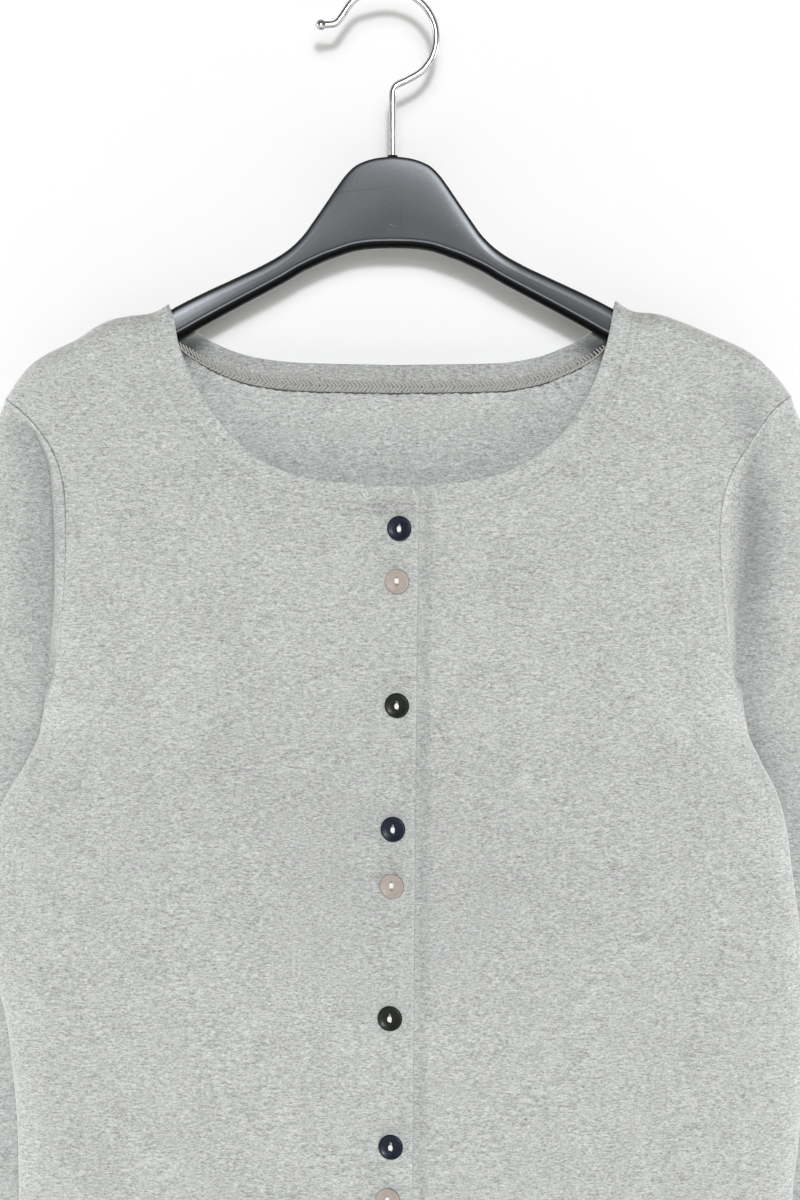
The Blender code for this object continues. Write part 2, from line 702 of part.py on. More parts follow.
def build_cloth():
    """Both fronts, the back with its facing, and both sleeves, each ending half a seam gap from its seams."""
    armhole = slice(0, len(ARMHOLE_ROWS))
    side_seam = slice(len(ARMHOLE_ROWS) - 1, None)
    fronts = {side: front_panel(side) for side in ("right", "left")}
    back, shoulder = back_panel(fronts)
    back_normals = looking(normals_of(back), (-1, back.shape[1] // 2), (0.0, 1.0, 0.0))
    half = SEAM_GAP / 2

    for side, (points, walls) in fronts.items():
        sign, column = {"right": (-1.0, 0), "left": (1.0, -1)}[side]
        normals = looking(normals_of(points), (-1, points.shape[1] // 2), (0.0, -1.0, 0.0))
        # Shoulder and side seams lie in a plane square to Y, so both panels end square to it there.
        ridge = slice(0, shoulder) if side == "right" else slice(-shoulder, None)
        normals[0] = seam_normals(points[0], (0.0, 0.0, 1.0))
        back_normals[0, ridge] = seam_normals(back[0, ridge], (0.0, 0.0, 1.0))
        outwards = seam_normals(points[side_seam, -1], (sign, 0.0, 0.0))
        normals[side_seam, -1] = outwards
        back_normals[side_seam, column] = outwards

        around = np.s_[len(ARMHOLE_ROWS) - 2 : 0 : -1, column]
        ring = np.concatenate([points[armhole, -1], back[around]])
        torso = np.concatenate([normals[armhole, -1], back_normals[around]])
        outer, inner, away = sleeve_walls(ring, torso, side)
        seam = (ring - inner[0]) / WALL
        moved = ring - away * half
        outer[0] += away * half
        inner[0] += away * half
        cloth_object("sleeve_" + side, outer, inner, closed=True)

        points[armhole, -1] = moved[armhole]
        normals[armhole, -1] = seam[armhole]
        backwards = -np.arange(len(ARMHOLE_ROWS)) % len(ring)
        back[armhole, column] = moved[backwards]
        back_normals[armhole, column] = seam[backwards]

        inner = points - normals * walls[..., None]
        for grid in (points, inner):
            grid[0, :, 1] -= half
            grid[side_seam, -1, 1] -= half
        cloth_object("front_" + side, points, inner)

    inner = back - back_normals * WALL
    for grid in (back, inner):
        grid[0, :shoulder, 1] += half
        grid[0, -shoulder:, 1] += half
        grid[side_seam, 0, 1] += half
        grid[side_seam, -1, 1] += half
    cloth_object("back", back, inner)
    build_facing(back, back_normals, shoulder)


def hanger_top(x):
    """The hanger's top edge, kept just under the cloth that hangs on it."""
    table = HANGER.read("top", x)
    cloth = np.minimum(-RIDGE_RIGHT.read("drop", x), -RIDGE_LEFT.read("drop", x)) - WALL - HANGER_CLEARANCE
    return np.where(x > RIDGE_RIGHT.rows[0, 0], np.minimum(table, cloth), table)


def curve_object(name, points, radii, bevel, cyclic=False, dimensions="3D"):
    """A poly curve through the points, beveled to this radius."""
    curve = bpy.data.curves.new(name, "CURVE")
    curve.dimensions = dimensions
    spline = curve.splines.new("POLY")
    spline.points.add(len(points) - 1)
    for point, place, radius in zip(spline.points, points, radii):
        point.co = (*place, 1.0)
        point.radius = radius
    spline.use_cyclic_u = cyclic
    curve.bevel_depth = bevel
    curve.bevel_resolution = 2
    return bpy.data.objects.new(name, curve)


def mesh_of(curve_obj):
    """The curve's mesh with its caps welded, as a bmesh; the curve is removed."""
    parts.objects.link(curve_obj)
    bpy.context.view_layer.update()
    graph = bpy.context.evaluated_depsgraph_get()
    data = bpy.data.meshes.new_from_object(curve_obj.evaluated_get(graph))
    mesh = bmesh.new()
    mesh.from_mesh(data)
    mesh.transform(curve_obj.matrix_world)
    bmesh.ops.remove_doubles(mesh, verts=mesh.verts, dist=WELD)
    bmesh.ops.recalc_face_normals(mesh, faces=mesh.faces)
    bpy.data.objects.remove(curve_obj)
    bpy.data.meshes.remove(data)
    return mesh


def build_hanger():
    """The moulded body: its outline extruded with rounded edges, and the hook's blind hole from above."""
    xs = HANGER.column("x")
    top = np.stack([xs, hanger_top(xs)], axis=1)
    bottom = np.stack([xs, HANGER.column("bottom")], axis=1)
    half = np.vstack([top, bottom[::-1]])
    outline = np.vstack([half, (half * (-1, 1))[::-1][1:-1]])
    points = [(x, NECK_POINT_Z + z, 0.0) for x, z in outline]
    shape = curve_object("hanger_outline", points, [1.0] * len(points), HANGER_EDGE, True, "2D")
    shape.data.fill_mode = "BOTH"
    shape.data.extrude = HANGER_HALF_DEPTH - HANGER_EDGE
    shape.data.offset = -HANGER_EDGE
    shape.data.bevel_resolution = 1
    shape.rotation_euler = (math.pi / 2, 0.0, 0.0)
    body = finish_mesh("hanger_body", mesh_of(shape), PLASTIC)

    hole = bmesh.new()
    radius = WIRE_RADIUS + SEAM_GAP
    bmesh.ops.create_cone(
        hole,
        cap_ends=True,
        segments=STEM_HOLE_SIDES,
        radius1=radius,
        radius2=radius,
        depth=2 * STEM_HOLE_DEPTH,
    )
    data = bpy.data.meshes.new("stem_hole")
    hole.to_mesh(data)
    hole.free()
    cutter = bpy.data.objects.new("stem_hole", data)
    cutter.location = (0.0, 0.0, NECK_POINT_Z + HANGER.rows[0, 1])
    cutter.hide_render = True
    cutter.display_type = "WIRE"
    cutters.objects.link(cutter)
    cut = body.modifiers.new("stem_hole", "BOOLEAN")
    cut.operation = "DIFFERENCE"
    cut.solver = "EXACT"
    cut.object = cutter


def build_hook():
    """The bent wire from the hanger's hole round the rail's seat to the ball at its tip."""
    centre = (HOOK_OFFSET, WIRE_RADIUS - HOOK_RADIUS)
    foot = NECK_POINT_Z + HANGER.rows[0, 1] - STEM_HOLE_DEPTH + SEAM_GAP
    route = [(0.0, foot), (0.0, (foot + centre[1] + HOOK_LEAD.rows[0, 1]) / 2)]
    lead = [(x + centre[0], z + centre[1]) for x, z in HOOK_LEAD.rows]
    route += lead
    for angle in np.radians(np.linspace(HOOK_ARC_START, HOOK_ARC_END, HOOK_ARC_STEPS)):
        route.append((centre[0] + HOOK_RADIUS * math.cos(angle), centre[1] + HOOK_RADIUS * math.sin(angle)))
    swell = [1.0] * len(route)
    for x, z, thick in HOOK_TAIL.rows:
        route.append((x + centre[0], z + centre[1]))
        swell.append(thick)
    points = [(x, 0.0, z) for x, z in route]
    wire = curve_object("hook_wire", points, swell, WIRE_RADIUS)
    wire.data.use_fill_caps = True
    finish_mesh("hanger_hook", mesh_of(wire), CHROME)


def button_mesh():
    """A disc with a dished face and two holes, its back on the XY plane and its face towards +Z."""
    mesh = bmesh.new()
    rings = []
    for reach, height in BUTTON_PROFILE:
        ring = []
        for k in range(BUTTON_SIDES):
            angle = 2 * math.pi * k / BUTTON_SIDES
            x, y = BUTTON_RADIUS * reach * math.cos(angle), BUTTON_RADIUS * reach * math.sin(angle)
            ring.append(mesh.verts.new((x, y, BUTTON_THICKNESS * height)))
        rings.append(ring)
    for lower, upper in zip(rings, rings[1:]):
        for k in range(BUTTON_SIDES):
            n = (k + 1) % BUTTON_SIDES
            mesh.faces.new((lower[k], lower[n], upper[n], upper[k]))
    mesh.faces.new(rings[0][::-1])
    mesh.faces.new(rings[-1])
    data = bpy.data.meshes.new("button_disc")
    mesh.to_mesh(data)
    mesh.free()
    return data


def drilled(data):
    """The disc with its two thread holes cut, as a mesh that every button copies."""
    disc = bpy.data.objects.new("button_blank", data)
    parts.objects.link(disc)
    for sign in (-1, 1):
        hole = bmesh.new()
        bmesh.ops.create_cone(
            hole,
            cap_ends=True,
            segments=THREAD_HOLE_SIDES,
            radius1=BUTTON_HOLE_RADIUS,
            radius2=BUTTON_HOLE_RADIUS,
            depth=4 * BUTTON_THICKNESS,
        )
        hole_data = bpy.data.meshes.new("thread_hole")
        hole.to_mesh(hole_data)
        hole.free()
        cutter = bpy.data.objects.new("thread_hole", hole_data)
        cutter.location = (0.0, sign * BUTTON_HOLE_SPACING / 2, 0.0)
        cutter.hide_render = True
        cutter.display_type = "WIRE"
        cutters.objects.link(cutter)
        cut = disc.modifiers.new("thread_hole", "BOOLEAN")
        cut.operation = "DIFFERENCE"
        cut.solver = "EXACT"
        cut.object = cutter
    bpy.context.view_layer.update()
    graph = bpy.context.evaluated_depsgraph_get()
    cut_data = bpy.data.meshes.new_from_object(disc.evaluated_get(graph))
    cut_data.name = "button_disc"
    bpy.data.objects.remove(disc)
    return cut_data


def build_buttons():
    """The fastened buttons, each leaning on its thread just clear of the buttoned edge."""
    disc = drilled(button_mesh())
    for row, (drop, x, colour, lean_right, lean_top) in enumerate(BUTTONS.rows, start=1):
        name, tint = BUTTON_COLOURS[int(colour)]
        data = disc.copy()
        data.materials.clear()
        data.materials.append(material_of(name, tint, BUTTON_ROUGHNESS, 0.0))
        data.shade_smooth()
        data.set_sharp_from_angle(angle=SHARP_ANGLE)
        button = bpy.data.objects.new(f"button_{row:02d}", data)
        face = Matrix.Rotation(math.pi / 2, 4, "X")
        turn = Matrix.Rotation(math.radians(-lean_right), 4, "Z")
        nod = Matrix.Rotation(math.radians(lean_top), 4, "X")
        tilt = math.hypot(lean_right, lean_top)
        lift = BUTTON_RADIUS * math.sin(math.radians(tilt)) + SEAM_GAP
        place = surface(np.array(x), np.array(drop), "front") - np.array((0.0, lift, 0.0))
        button.matrix_world = Matrix.Translation(Vector(place)) @ turn @ nod @ face
        parts.objects.link(button)


def build_facing(back, normals, shoulder):
    """The turned strip inside the back neck, made from the back's own points moved in."""
    strip = (slice(0, FACING_ROWS), slice(shoulder + 2, -shoulder - 2))
    outer = back[strip] - normals[strip] * (WALL + LAYER_GAP)
    cloth_object("back_neck_facing", outer, outer - normals[strip] * FACING_WALL)


for old in list(bpy.data.objects):
    bpy.data.objects.remove(old)
parts = bpy.data.collections.new("button_cardigan_on_hanger")
cutters = bpy.data.collections.new("cutters")
bpy.context.scene.collection.children.link(parts)
bpy.context.scene.collection.children.link(cutters)
build_cloth()
build_hanger()
build_hook()
build_buttons()
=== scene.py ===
"""Looks of a fine jersey button cardigan on a moulded hanger: cloth, stitches, buttons, hanger and stage.

Metres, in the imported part's frame. "drop" is the distance below the neck point, as in the part's source.
"""

import math

import bmesh
import bpy
import numpy as np
from mathutils import Matrix, Vector


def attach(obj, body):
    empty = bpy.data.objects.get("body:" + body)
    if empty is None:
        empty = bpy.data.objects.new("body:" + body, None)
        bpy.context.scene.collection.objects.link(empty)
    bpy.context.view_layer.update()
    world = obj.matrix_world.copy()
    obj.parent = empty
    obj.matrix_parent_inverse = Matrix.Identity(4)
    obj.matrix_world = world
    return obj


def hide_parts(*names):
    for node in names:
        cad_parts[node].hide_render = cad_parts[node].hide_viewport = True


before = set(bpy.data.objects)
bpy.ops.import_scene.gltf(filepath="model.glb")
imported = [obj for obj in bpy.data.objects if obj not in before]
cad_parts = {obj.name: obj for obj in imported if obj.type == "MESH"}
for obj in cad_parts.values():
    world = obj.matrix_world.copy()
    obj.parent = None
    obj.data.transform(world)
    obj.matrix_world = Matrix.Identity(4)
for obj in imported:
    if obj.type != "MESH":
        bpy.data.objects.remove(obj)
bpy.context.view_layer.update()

# Sizes of the part, as in its source.
WALL = 0.0014
BAND_WALL = 0.0024
BAND_WIDTH = 0.0240
BAND_TAPER = 0.0030
UNDER_BAND_WIDTH = 0.0235
UNDER_SUNK = 0.0010
UNDER_RAMP = 0.0080
NECK_HEM = (0.0, 0.0050, 0.0100, 0.0130)
LAYER_GAP = 0.0004
SEAM_GAP = 0.0003
NECK_POINT_Z = -0.1435
HEM_DROP = 0.575
UNDERARM_DROP = 0.195
CROWD_DROP = 0.100
FACING_WALL = 0.0012
RIDGE_RADIUS = 0.0100
RIDGE_RISE = 0.0450
FRONT_SQUARENESS = 2.4
BACK_SQUARENESS = 2.2
RIDGE_SQUARENESS = 6.0
SIDE_BEND = 4
WIRE_RADIUS = 0.0016
HOOK_RADIUS = 0.0220
HOOK_OFFSET = -0.0018
HANGER_CLEARANCE = 0.0018
STEM_HOLE_DEPTH = 0.0120
BUTTON_RADIUS = 0.00575
BUTTON_THICKNESS = 0.0020
BUTTON_HOLE_RADIUS = 0.0007
BUTTON_HOLE_SPACING = 0.0032

# How many fine rows, columns or stations stand for one of the part's, and the same for the back's columns.
FINE = 8
BACK_FINE = 5
CAP_FINE = 6
EDGE_CROWDING = 0.92

# Sizes of the cloth's looks: the sleeve's turn, its tuck behind the body's edge, the knit's columns and
# courses, the neckline's stitches and the facing's.
SLEEVE_TURN = 0.260
TUCK = 0.0036
TUCK_TOP = 0.148
TUCK_END = 0.200
# How strongly a painted highlight lightens the right front's buttoned edge.
PAINTED_EDGE_HIGHLIGHT = 0.3
PANEL_TURN = 0.26
WALE = 0.00085
COURSE = 0.00062
HEM_STITCH = 0.0026
HEM_ROWS = (0.0086, 0.0122)
STITCH_MIDDLE = 0.0100
STITCH_PITCH = 0.0019
STITCH_REACH = 0.0021
STITCH_RADIUS = 0.00036
STITCH_ARCH = (0.00005, 0.00040, 0.00050, 0.00040, 0.00005)
STITCH_ROWS = (-0.0024, 0.0001)
# Painted shade in the gaps under the facing's stitches, and how far it reaches.
STITCH_SHADE = 0.9
STITCH_SHADE_REACH = 0.0026
# The sleeve is drawn smooth this strongly over so many columns and rows round the underarm, then ever less.
RELAX_ROUNDS = 260
RELAX_SHARE = 0.5
RELAX_COLUMNS = 10
RELAX_ROWS = 38
RELAX_FADE = 16
BUTTON_SIDES = 48
GREY = (0.422, 0.433, 0.421)
# How far the top, bottom, first and last edges of each kind of piece round out, in this many steps.
SLEEVE_RIMS = (0.0001, 0.0006, 0.0, 0.0)
FRONT_RIMS = (0.0001, 0.0006, 0.0007, 0.0001)
BACK_RIMS = (0.0004, 0.0006, 0.0001, 0.0001)
FACING_RIMS = (0.0003, 0.0002, 0.0002, 0.0002)
RIM_STEPS = 3
# The stage: its wall, floor and camera.
WALL_PLANE = 0.0540
WALL_REACH = 0.70
WALL_LOW = -0.80
WALL_HIGH = 0.30
WALL_COLOUR = (0.783, 0.783, 0.783, 1.0)
FLOOR_Z = -1.15
FLOOR_REACH = 5.0
FLOOR_COLOUR = (0.80, 0.80, 0.79, 1.0)
CAMERA = (0.0034, -1.800, -0.3062)
CAMERA_TILT = 0.82
CAMERA_LENS = 117.07
# Directions that normals look in, and the side of the body that each name stands for.
FORWARDS = (0.0, -1.0, 0.0)
BACKWARDS = (0.0, 1.0, 0.0)
UPWARDS = (0.0, 0.0, 1.0)
SIGNS = {"right": -1.0, "left": 1.0}


class Table:
    """Rows of sizes under named columns, read between its rows on a smooth curve.

    A column whose name ends in _mm is written in millimetres and held in metres."""

    def __init__(self, columns, *rows):
        names = columns.split()
        self.rows = np.array(rows, float) / [1000 if name.endswith("_mm") else 1 for name in names]
        self.columns = [name.removesuffix("_mm") for name in names]

    def column(self, name):
        return self.rows[:, self.columns.index(name)]

    def read(self, name, at):
        return monotone(self.rows[:, 0], self.column(name), at)


def tables(columns, *groups):
    """A table for each group of rows, all under the same columns."""
    return [Table(columns, *rows) for rows in groups]


TORSO = Table(
    "drop_mm right_mm left_mm front_mm back_mm side_mm",
    (-5, 200, 200, 16, 13, 0),
    (45, 194, 196, 19, 14.5, 0),
    (100, 174, 173, 25, 18, 0.5),
    (150, 165.5, 165.5, 31, 21, 1),
    (195, 162, 163.2, 34.5, 23.5, 1),
    (210, 167.5, 168.7, 35.5, 24, -2),
    (225, 176.2, 176, 36.2, 24, -5.5),
    (240, 182.8, 180, 36.7, 24, -8),
    (265, 186.6, 183.2, 37, 24, -9.5),
    (290, 185, 186.4, 37, 24, -10),
    (335, 175.5, 188.6, 36.2, 24.2, -10),
    (385, 171.1, 185.5, 35, 24.5, -9),
    (410, 170.8, 182.8, 34.5, 25, -8),
    (480, 177, 183, 35.5, 26.5, -7),
    (575, 187, 189, 38.5, 29, -6),
)
RIDGE_RIGHT = Table(
    "x_mm drop_mm",
    (104, 0.5), (108, 3), (113, 4.8), (120, 5.6), (128, 7), (135, 9.6), (145.6, 16.4), (160.3, 23.7),
    (166, 27.5), (170.8, 32.5), (178.5, 44),
)
RIDGE_LEFT = Table(
    "x_mm drop_mm",
    (103.5, -1), (108, 2.2), (113, 4), (118.7, 4.4), (123.4, 5.1), (130.4, 7.3), (148, 14.6),
    (165.6, 23.1), (175.6, 31.9), (183.8, 42.5),
)
NECK_RIGHT = Table(
    "x_mm drop_mm",
    (0, 85), (29.4, 83), (45.1, 79.8), (56.2, 75.7), (67.3, 68.4), (76.8, 59), (84.7, 48.4),
    (92.6, 34.8), (99, 18.8), (101.6, 6), (104, 0.5),
)
NECK_LEFT = Table(
    "x_mm drop_mm",
    (0, 85), (34, 83), (50, 79.2), (62.6, 73.5), (73.6, 65.3), (84.6, 52.4), (91, 41.2), (96.6, 26.8),
    (99.8, 15.6), (102, 4), (103.5, -1),
)
BACK_NECK_RIGHT = Table(
    "x_mm drop_mm",
    (0, 27.9), (43, 26.9), (61.5, 24.9), (74, 21.6), (82.5, 17.8), (90, 13.6), (97, 8.6), (104, 0.5),
)
BACK_NECK_LEFT = Table(
    "x_mm drop_mm",
    (0, 27.9), (49.5, 27.1), (68, 24.1), (80.5, 19.3), (91.2, 13.6), (97.5, 8.2), (103.5, -1),
)
ARMHOLE_RIGHT = Table(
    "x_mm drop_mm",
    (178.5, 44), (169.7, 51), (161, 60.5), (153.5, 74), (150, 90), (149.4, 108), (150, 130),
    (151.5, 150), (154.5, 170), (162, 195),
)
ARMHOLE_LEFT = Table(
    "x_mm drop_mm",
    (183.8, 42.5), (174.9, 49.8), (169, 57.5), (162, 68), (155.6, 78.5), (150.8, 93.5), (149.6, 108),
    (150.4, 125), (153, 154), (156.2, 172), (163.2, 195),
)
BACK_ARMHOLE_RIGHT = Table(
    "x_mm drop_mm",
    (178.5, 44), (170, 56), (162, 74), (157.5, 100), (157.2, 130), (159.5, 165), (162, 195),
)
BACK_ARMHOLE_LEFT = Table(
    "x_mm drop_mm",
    (183.8, 42.5), (173, 56), (164, 74), (158.5, 100), (157.8, 130), (160.3, 165), (163.2, 195),
)
PLACKET = Table(
    "drop_mm edge_mm",
    (80, 11.8), (200, 10.3), (300, 9.4), (410, 8.6), (575, 7.8),
)
ARMHOLE_ROWS = (0.0, 0.010, 0.033, 0.067, 0.098, 0.205, 0.335, 0.470, 0.625, 0.790, 1.0)
ARMHOLE_COUNT = (len(ARMHOLE_ROWS) - 1) * FINE + 1
SIDE_ROWS = (
    *(0.0, 0.040, 0.079, 0.120, 0.185, 0.250, 0.320, 0.390),
    *(0.460, 0.530, 0.600, 0.680, 0.760, 0.840, 0.920, 1.0),
)
NECK_ROWS = (0.0, 0.014, 0.045, 0.095, 0.180, 0.310, 0.460, 0.620, 0.800, 1.0)
EDGE_ROWS = (
    *(0.0, 0.060, 0.125, 0.190, 0.260, 0.330, 0.400, 0.475),
    *(0.550, 0.625, 0.700, 0.775, 0.850, 0.925, 1.0),
)
FRONT_COLUMNS = 11
BACK_NECK_COLUMNS = (0.0, 0.010, 0.030, 0.065, 0.120, 0.200, 0.350, 0.560, 0.780, 1.0)
NEAR_ROWS = 4
FACING_ROWS = 4
FACING_INSET = 3
RIDGE_FADE = 0.050
SLEEVE = Table(
    "drop_mm out_mm behind_mm wide_mm deep_mm",
    (250, 207, 30, 51, 21.5),
    (320, 206, 30, 49, 20.5),
    (390, 204, 29, 47, 19),
    (460, 203, 28.5, 44, 17.5),
    (530, 203, 26.5, 41, 16),
    (610, 204, 24, 37.5, 14.5),
)
SLEEVE_DROPS = (0.250, 0.275, 0.300, 0.330, 0.360, 0.395, 0.430, 0.470, 0.510, 0.560, 0.610)
CAP_STEPS = (0.0, 0.05, 0.13, 0.24, 0.37, 0.51, 0.66, 0.82, 1.0)
# How a sleeve leaves its armhole, by the ring's places: its direction there, how far it keeps to it, and
# the angle round the arm that the place runs to. The lower places are the same on both sides.
CAP_COLUMNS = "row out behind up reach_mm angle"
CAP_LOWER = (
    (9, 0.82, 0.52, -0.22, 58, 148),
    (10, 0.8, 0.36, -0.46, 55, 178),
    (11, 0.8, 0.46, -0.38, 52, 206),
    (13, 0.62, 0.45, -0.64, 55, 256),
    (16, 0.7, 0.2, -0.69, 70, 310),
    (18, 0.5, 0.05, -0.86, 80, 338),
)
CAP_RIGHT = Table(
    CAP_COLUMNS,
    (0, 0.3, 0, -0.95, 90, 0),
    (2, 0.45, 0, -0.89, 80, 22),
    (4, 0.8, -0.1, -0.59, 50, 50),
    (6, 0.98, -0.05, -0.19, 34, 86),
    (8, 0.85, 0.48, -0.2, 42, 122),
    *CAP_LOWER,
    (20, 0.3, 0, -0.95, 90, 360),
)
CAP_LEFT = Table(
    CAP_COLUMNS,
    (0, 0.28, 0, -0.96, 90, 0),
    (2, 0.4, 0.05, -0.91, 80, 22),
    (4, 0.7, 0.15, -0.7, 50, 50),
    (6, 0.75, 0.6, -0.28, 34, 86),
    (8, 0.68, 0.7, -0.2, 42, 122),
    *CAP_LOWER,
    (20, 0.28, 0, -0.96, 90, 360),
)
CAP_ARRIVAL = 0.92
LEAST_MITRE = 0.62
HANGER = Table(
    "x_mm top_mm bottom_mm",
    (0, 68, 25.8), (8, 67, 25.6), (16.5, 64, 24.6), (21.5, 59.5, 23.2), (26, 53.4, 21.6),
    (30.6, 46.6, 20), (35.4, 39.6, 17.8), (42, 30.6, 14.6), (49, 24.2, 10.4), (59, 18.2, 5),
    (73, 11.5, -2.4), (87, 5, -10), (100, -1.6, -17.2), (106, -5, -20), (115, -6.8, -23.5),
    (130, -10, -30), (145, -18, -37.5), (156, -23.5, -42), (164, -29, -44), (168, -35, -43),
)
HOOK_LEAD = Table(
    "x_mm z_mm",
    (1.8, -26.5), (3, -22.7), (8.5, -19.7), (15, -15.8),
)
HOOK_TAIL = Table(
    "x_mm z_mm swell",
    (-11, 20, 1), (-14.3, 18.7, 1), (-16.5, 17, 1), (-18.3, 14.9, 1), (-21.2, 10.6, 1), (-22.7, 8.5, 1),
    (-23.8, 7.2, 1), (-25.1, 6.4, 1), (-26.7, 6.1, 1), (-29.4, 6, 1.05), (-30.2, 6, 1.4),
    (-31.4, 5.9, 1.55), (-32.6, 5.8, 1.3), (-33.4, 5.7, 0.6),
)
HOOK_ARC_START = -28.0
HOOK_ARC_END = 105.0
BUTTONS = Table(
    "drop_mm x_mm colour lean_right lean_top",
    (104.7, 3.4, 0, 16, 4),
    (128.8, 2.3, 1, 15, 9),
    (185, 2.3, 2, 15, 7),
    (240.8, 0.5, 0, 14, 5),
    (266.4, 0, 1, 17, 8),
    (326, -0.9, 2, 14, 6),
    (384, -0.5, 0, 15, 5),
    (408, -1.8, 1, 16, 8),
    (469, -1.6, 2, 15, 6),
    (527, -1.8, 0, 14, 5),
    (552, -2.2, 1, 16, 8),
)
BUTTON_SLOTS = ("button_navy", "button_beige", "button_olive")
CURVE_SAMPLES = 1200

# Soft folds, each a line of places with the height and width that the cloth has there. A trough is a
# negative height. Painted shade and puckers are lines of places too, with their strength as the height:
# the painted shade darkens the cloth's colour where shade falls, and puckers strengthen the painted shade
# of the neckline's stitches.
FRONT_FOLDS = tables(
    "x_mm drop_mm height_mm width_mm",
    ((-6, 128, 0, 10), (-11, 138, 0.7, 11), (-16, 150, 0, 12)),
)
FRONT_PAINTED_SHADE = tables(
    "x_mm drop_mm height width_mm",
    ((156, 34, 0, 8), (162, 47, 0.5, 9), (168, 62, 0.7, 9), (172, 80, 0, 8)),
    ((20, 180, 0, 90), (0, 250, 0.26, 110), (-20, 330, 0, 90)),
    ((-11, 88, 0, 4), (-8, 92.5, 0.4, 5), (0, 95.5, 0.55, 4), (6, 96, 0, 4)),
)
FRONT_PUCKERS = tables(
    "x_mm drop_mm height width_mm",
    ((-15, 96, 0.6, 3), (-8, 95.5, 1, 5), (1, 96.5, 1, 3), (6, 97, 0, 3)),
)
BACK_PAINTED_SHADOW = tables(
    "x_mm drop_mm height width_mm",
    ((-83, 15, 0, 4), (-87.2, 16.2, 1.6, 4.8), (-92.5, 18.2, 2.6, 6.2), (-100, 20, 2.8, 8.5)),
    ((83, 16.5, 0, 4), (87.5, 17.8, 1.6, 5), (93, 18.6, 2.6, 6.6), (100, 20, 2.8, 8.5)),
)
BACK_FOLDS = tables(
    "x_mm drop_mm height_mm width_mm",
    ((-120, 80, 0, 16), (-105, 200, -1.6, 20), (-98, 400, -2.2, 22), (-104, 570, -3, 24)),
    ((110, 90, 0, 16), (100, 220, -1.5, 20), (92, 420, -2, 24), (96, 570, -2.8, 26)),
)
# The valley where each sleeve falls back beside the body: how far from the middle it runs, how deep it is
# and how far it reaches towards the body and away from it. Its painted shade, which darkens the cloth's
# colour where the valley falls into shade, is given in the same way.
SLEEVE_VALLEYS = {
    "right": Table(
        "drop_mm x_mm height_mm inner_mm outer_mm",
        (50, 169, 0, 3, 8),
        (62, 164.5, -4.5, 3, 9),
        (80, 159.8, -7, 3, 10),
        (108, 159, -8, 3.4, 11),
        (135, 159.4, -6.6, 3.4, 10),
        (155, 160, -4, 3, 8),
        (178, 161, 0, 3, 6),
    ),
    "left": Table(
        "drop_mm x_mm height_mm inner_mm outer_mm",
        (48, 178, 0, 6, 6),
        (62, 172, -3.4, 8, 7.5),
        (85, 169, -5.6, 9, 10),
        (115, 167.5, -6, 10, 11),
        (140, 164, -5, 7, 11),
        (158, 161, -3, 4, 8),
        (178, 161.5, 0, 3, 6),
    ),
}
SLEEVE_PAINTED_SHADE = {
    "right": Table(
        "drop_mm x_mm height inner_mm outer_mm",
        (48, 175, 0, 1.6, 10),
        (60, 166, 0.75, 2, 13),
        (76, 159.8, 0.85, 2.8, 13),
        (92, 157.6, 0.82, 4.6, 14.5),
        (108, 157.1, 0.8, 5.2, 15),
        (145, 157, 0.75, 4.8, 14),
        (165, 157.8, 0.6, 3, 11),
        (180, 159.2, 0.45, 2, 8),
        (200, 163, 0.2, 2, 8),
        (230, 176, 0, 2, 8),
    ),
    "left": Table(
        "drop_mm x_mm height inner_mm outer_mm",
        (60, 170, 0, 7, 6),
        (76, 168, 0.7, 9, 8),
        (95, 169, 1.1, 10, 9),
        (120, 168, 1.25, 10, 10),
        (140, 164, 1.1, 8, 11),
        (160, 160, 0.95, 4, 14),
        (180, 160, 0.7, 3, 16),
        (209, 169, 0.6, 3, 14),
        (260, 190, 0.25, 3, 10),
        (300, 200, 0, 3, 10),
    ),
}
# Creases of a sleeve, by the distance round it from its outer line towards the front and down it.
SLEEVE_FOLDS = tables(
    "round_mm down_mm height_mm width_mm",
    ((40, 275, 0, 8), (68, 288, -1.6, 9), (100, 306, -2.4, 10), (135, 314, 0, 8)),
    ((55, 330, 0, 7), (85, 333, -1.5, 8), (115, 346, -2, 9), (150, 360, 0, 8)),
    ((150, 262, 0, 8), (185, 278, -2, 10), (220, 300, 0, 8)),
    ((160, 330, 0, 8), (190, 322, -1.6, 9), (225, 340, 0, 8)),
    ((30, 120, 0, 12), (42, 220, 1, 14), (40, 420, 1.2, 14), (36, 540, 0.6, 14)),
)
# Loose ends of thread below the front neckline, in millimetres across and down.
THREAD_ENDS = (
    ((-13.6, 86.2), (-14.1, 87.6), (-13.1, 89.3), (-11.7, 90.8), (-10.3, 90.9), (-9.4, 89.7)),
    ((-12.7, 86.6), (-11.8, 88.0), (-11.2, 89.3)),
    ((17.6, 85.6), (18.8, 86.8), (19.8, 88.8), (20.0, 90.5)),
)
# A button's side view, from the middle of its face round its rim to its back, as shares of its size.
BUTTON_FACE = Table(
    "reach height",
    (0, 0.72), (0.4, 0.72), (0.62, 0.74), (0.72, 0.86), (0.8, 0.98), (0.86, 1.02), (0.93, 0.98),
    (0.985, 0.84), (1, 0.66), (0.99, 0.44), (0.95, 0.2), (0.86, 0.03), (0.7, 0),
)
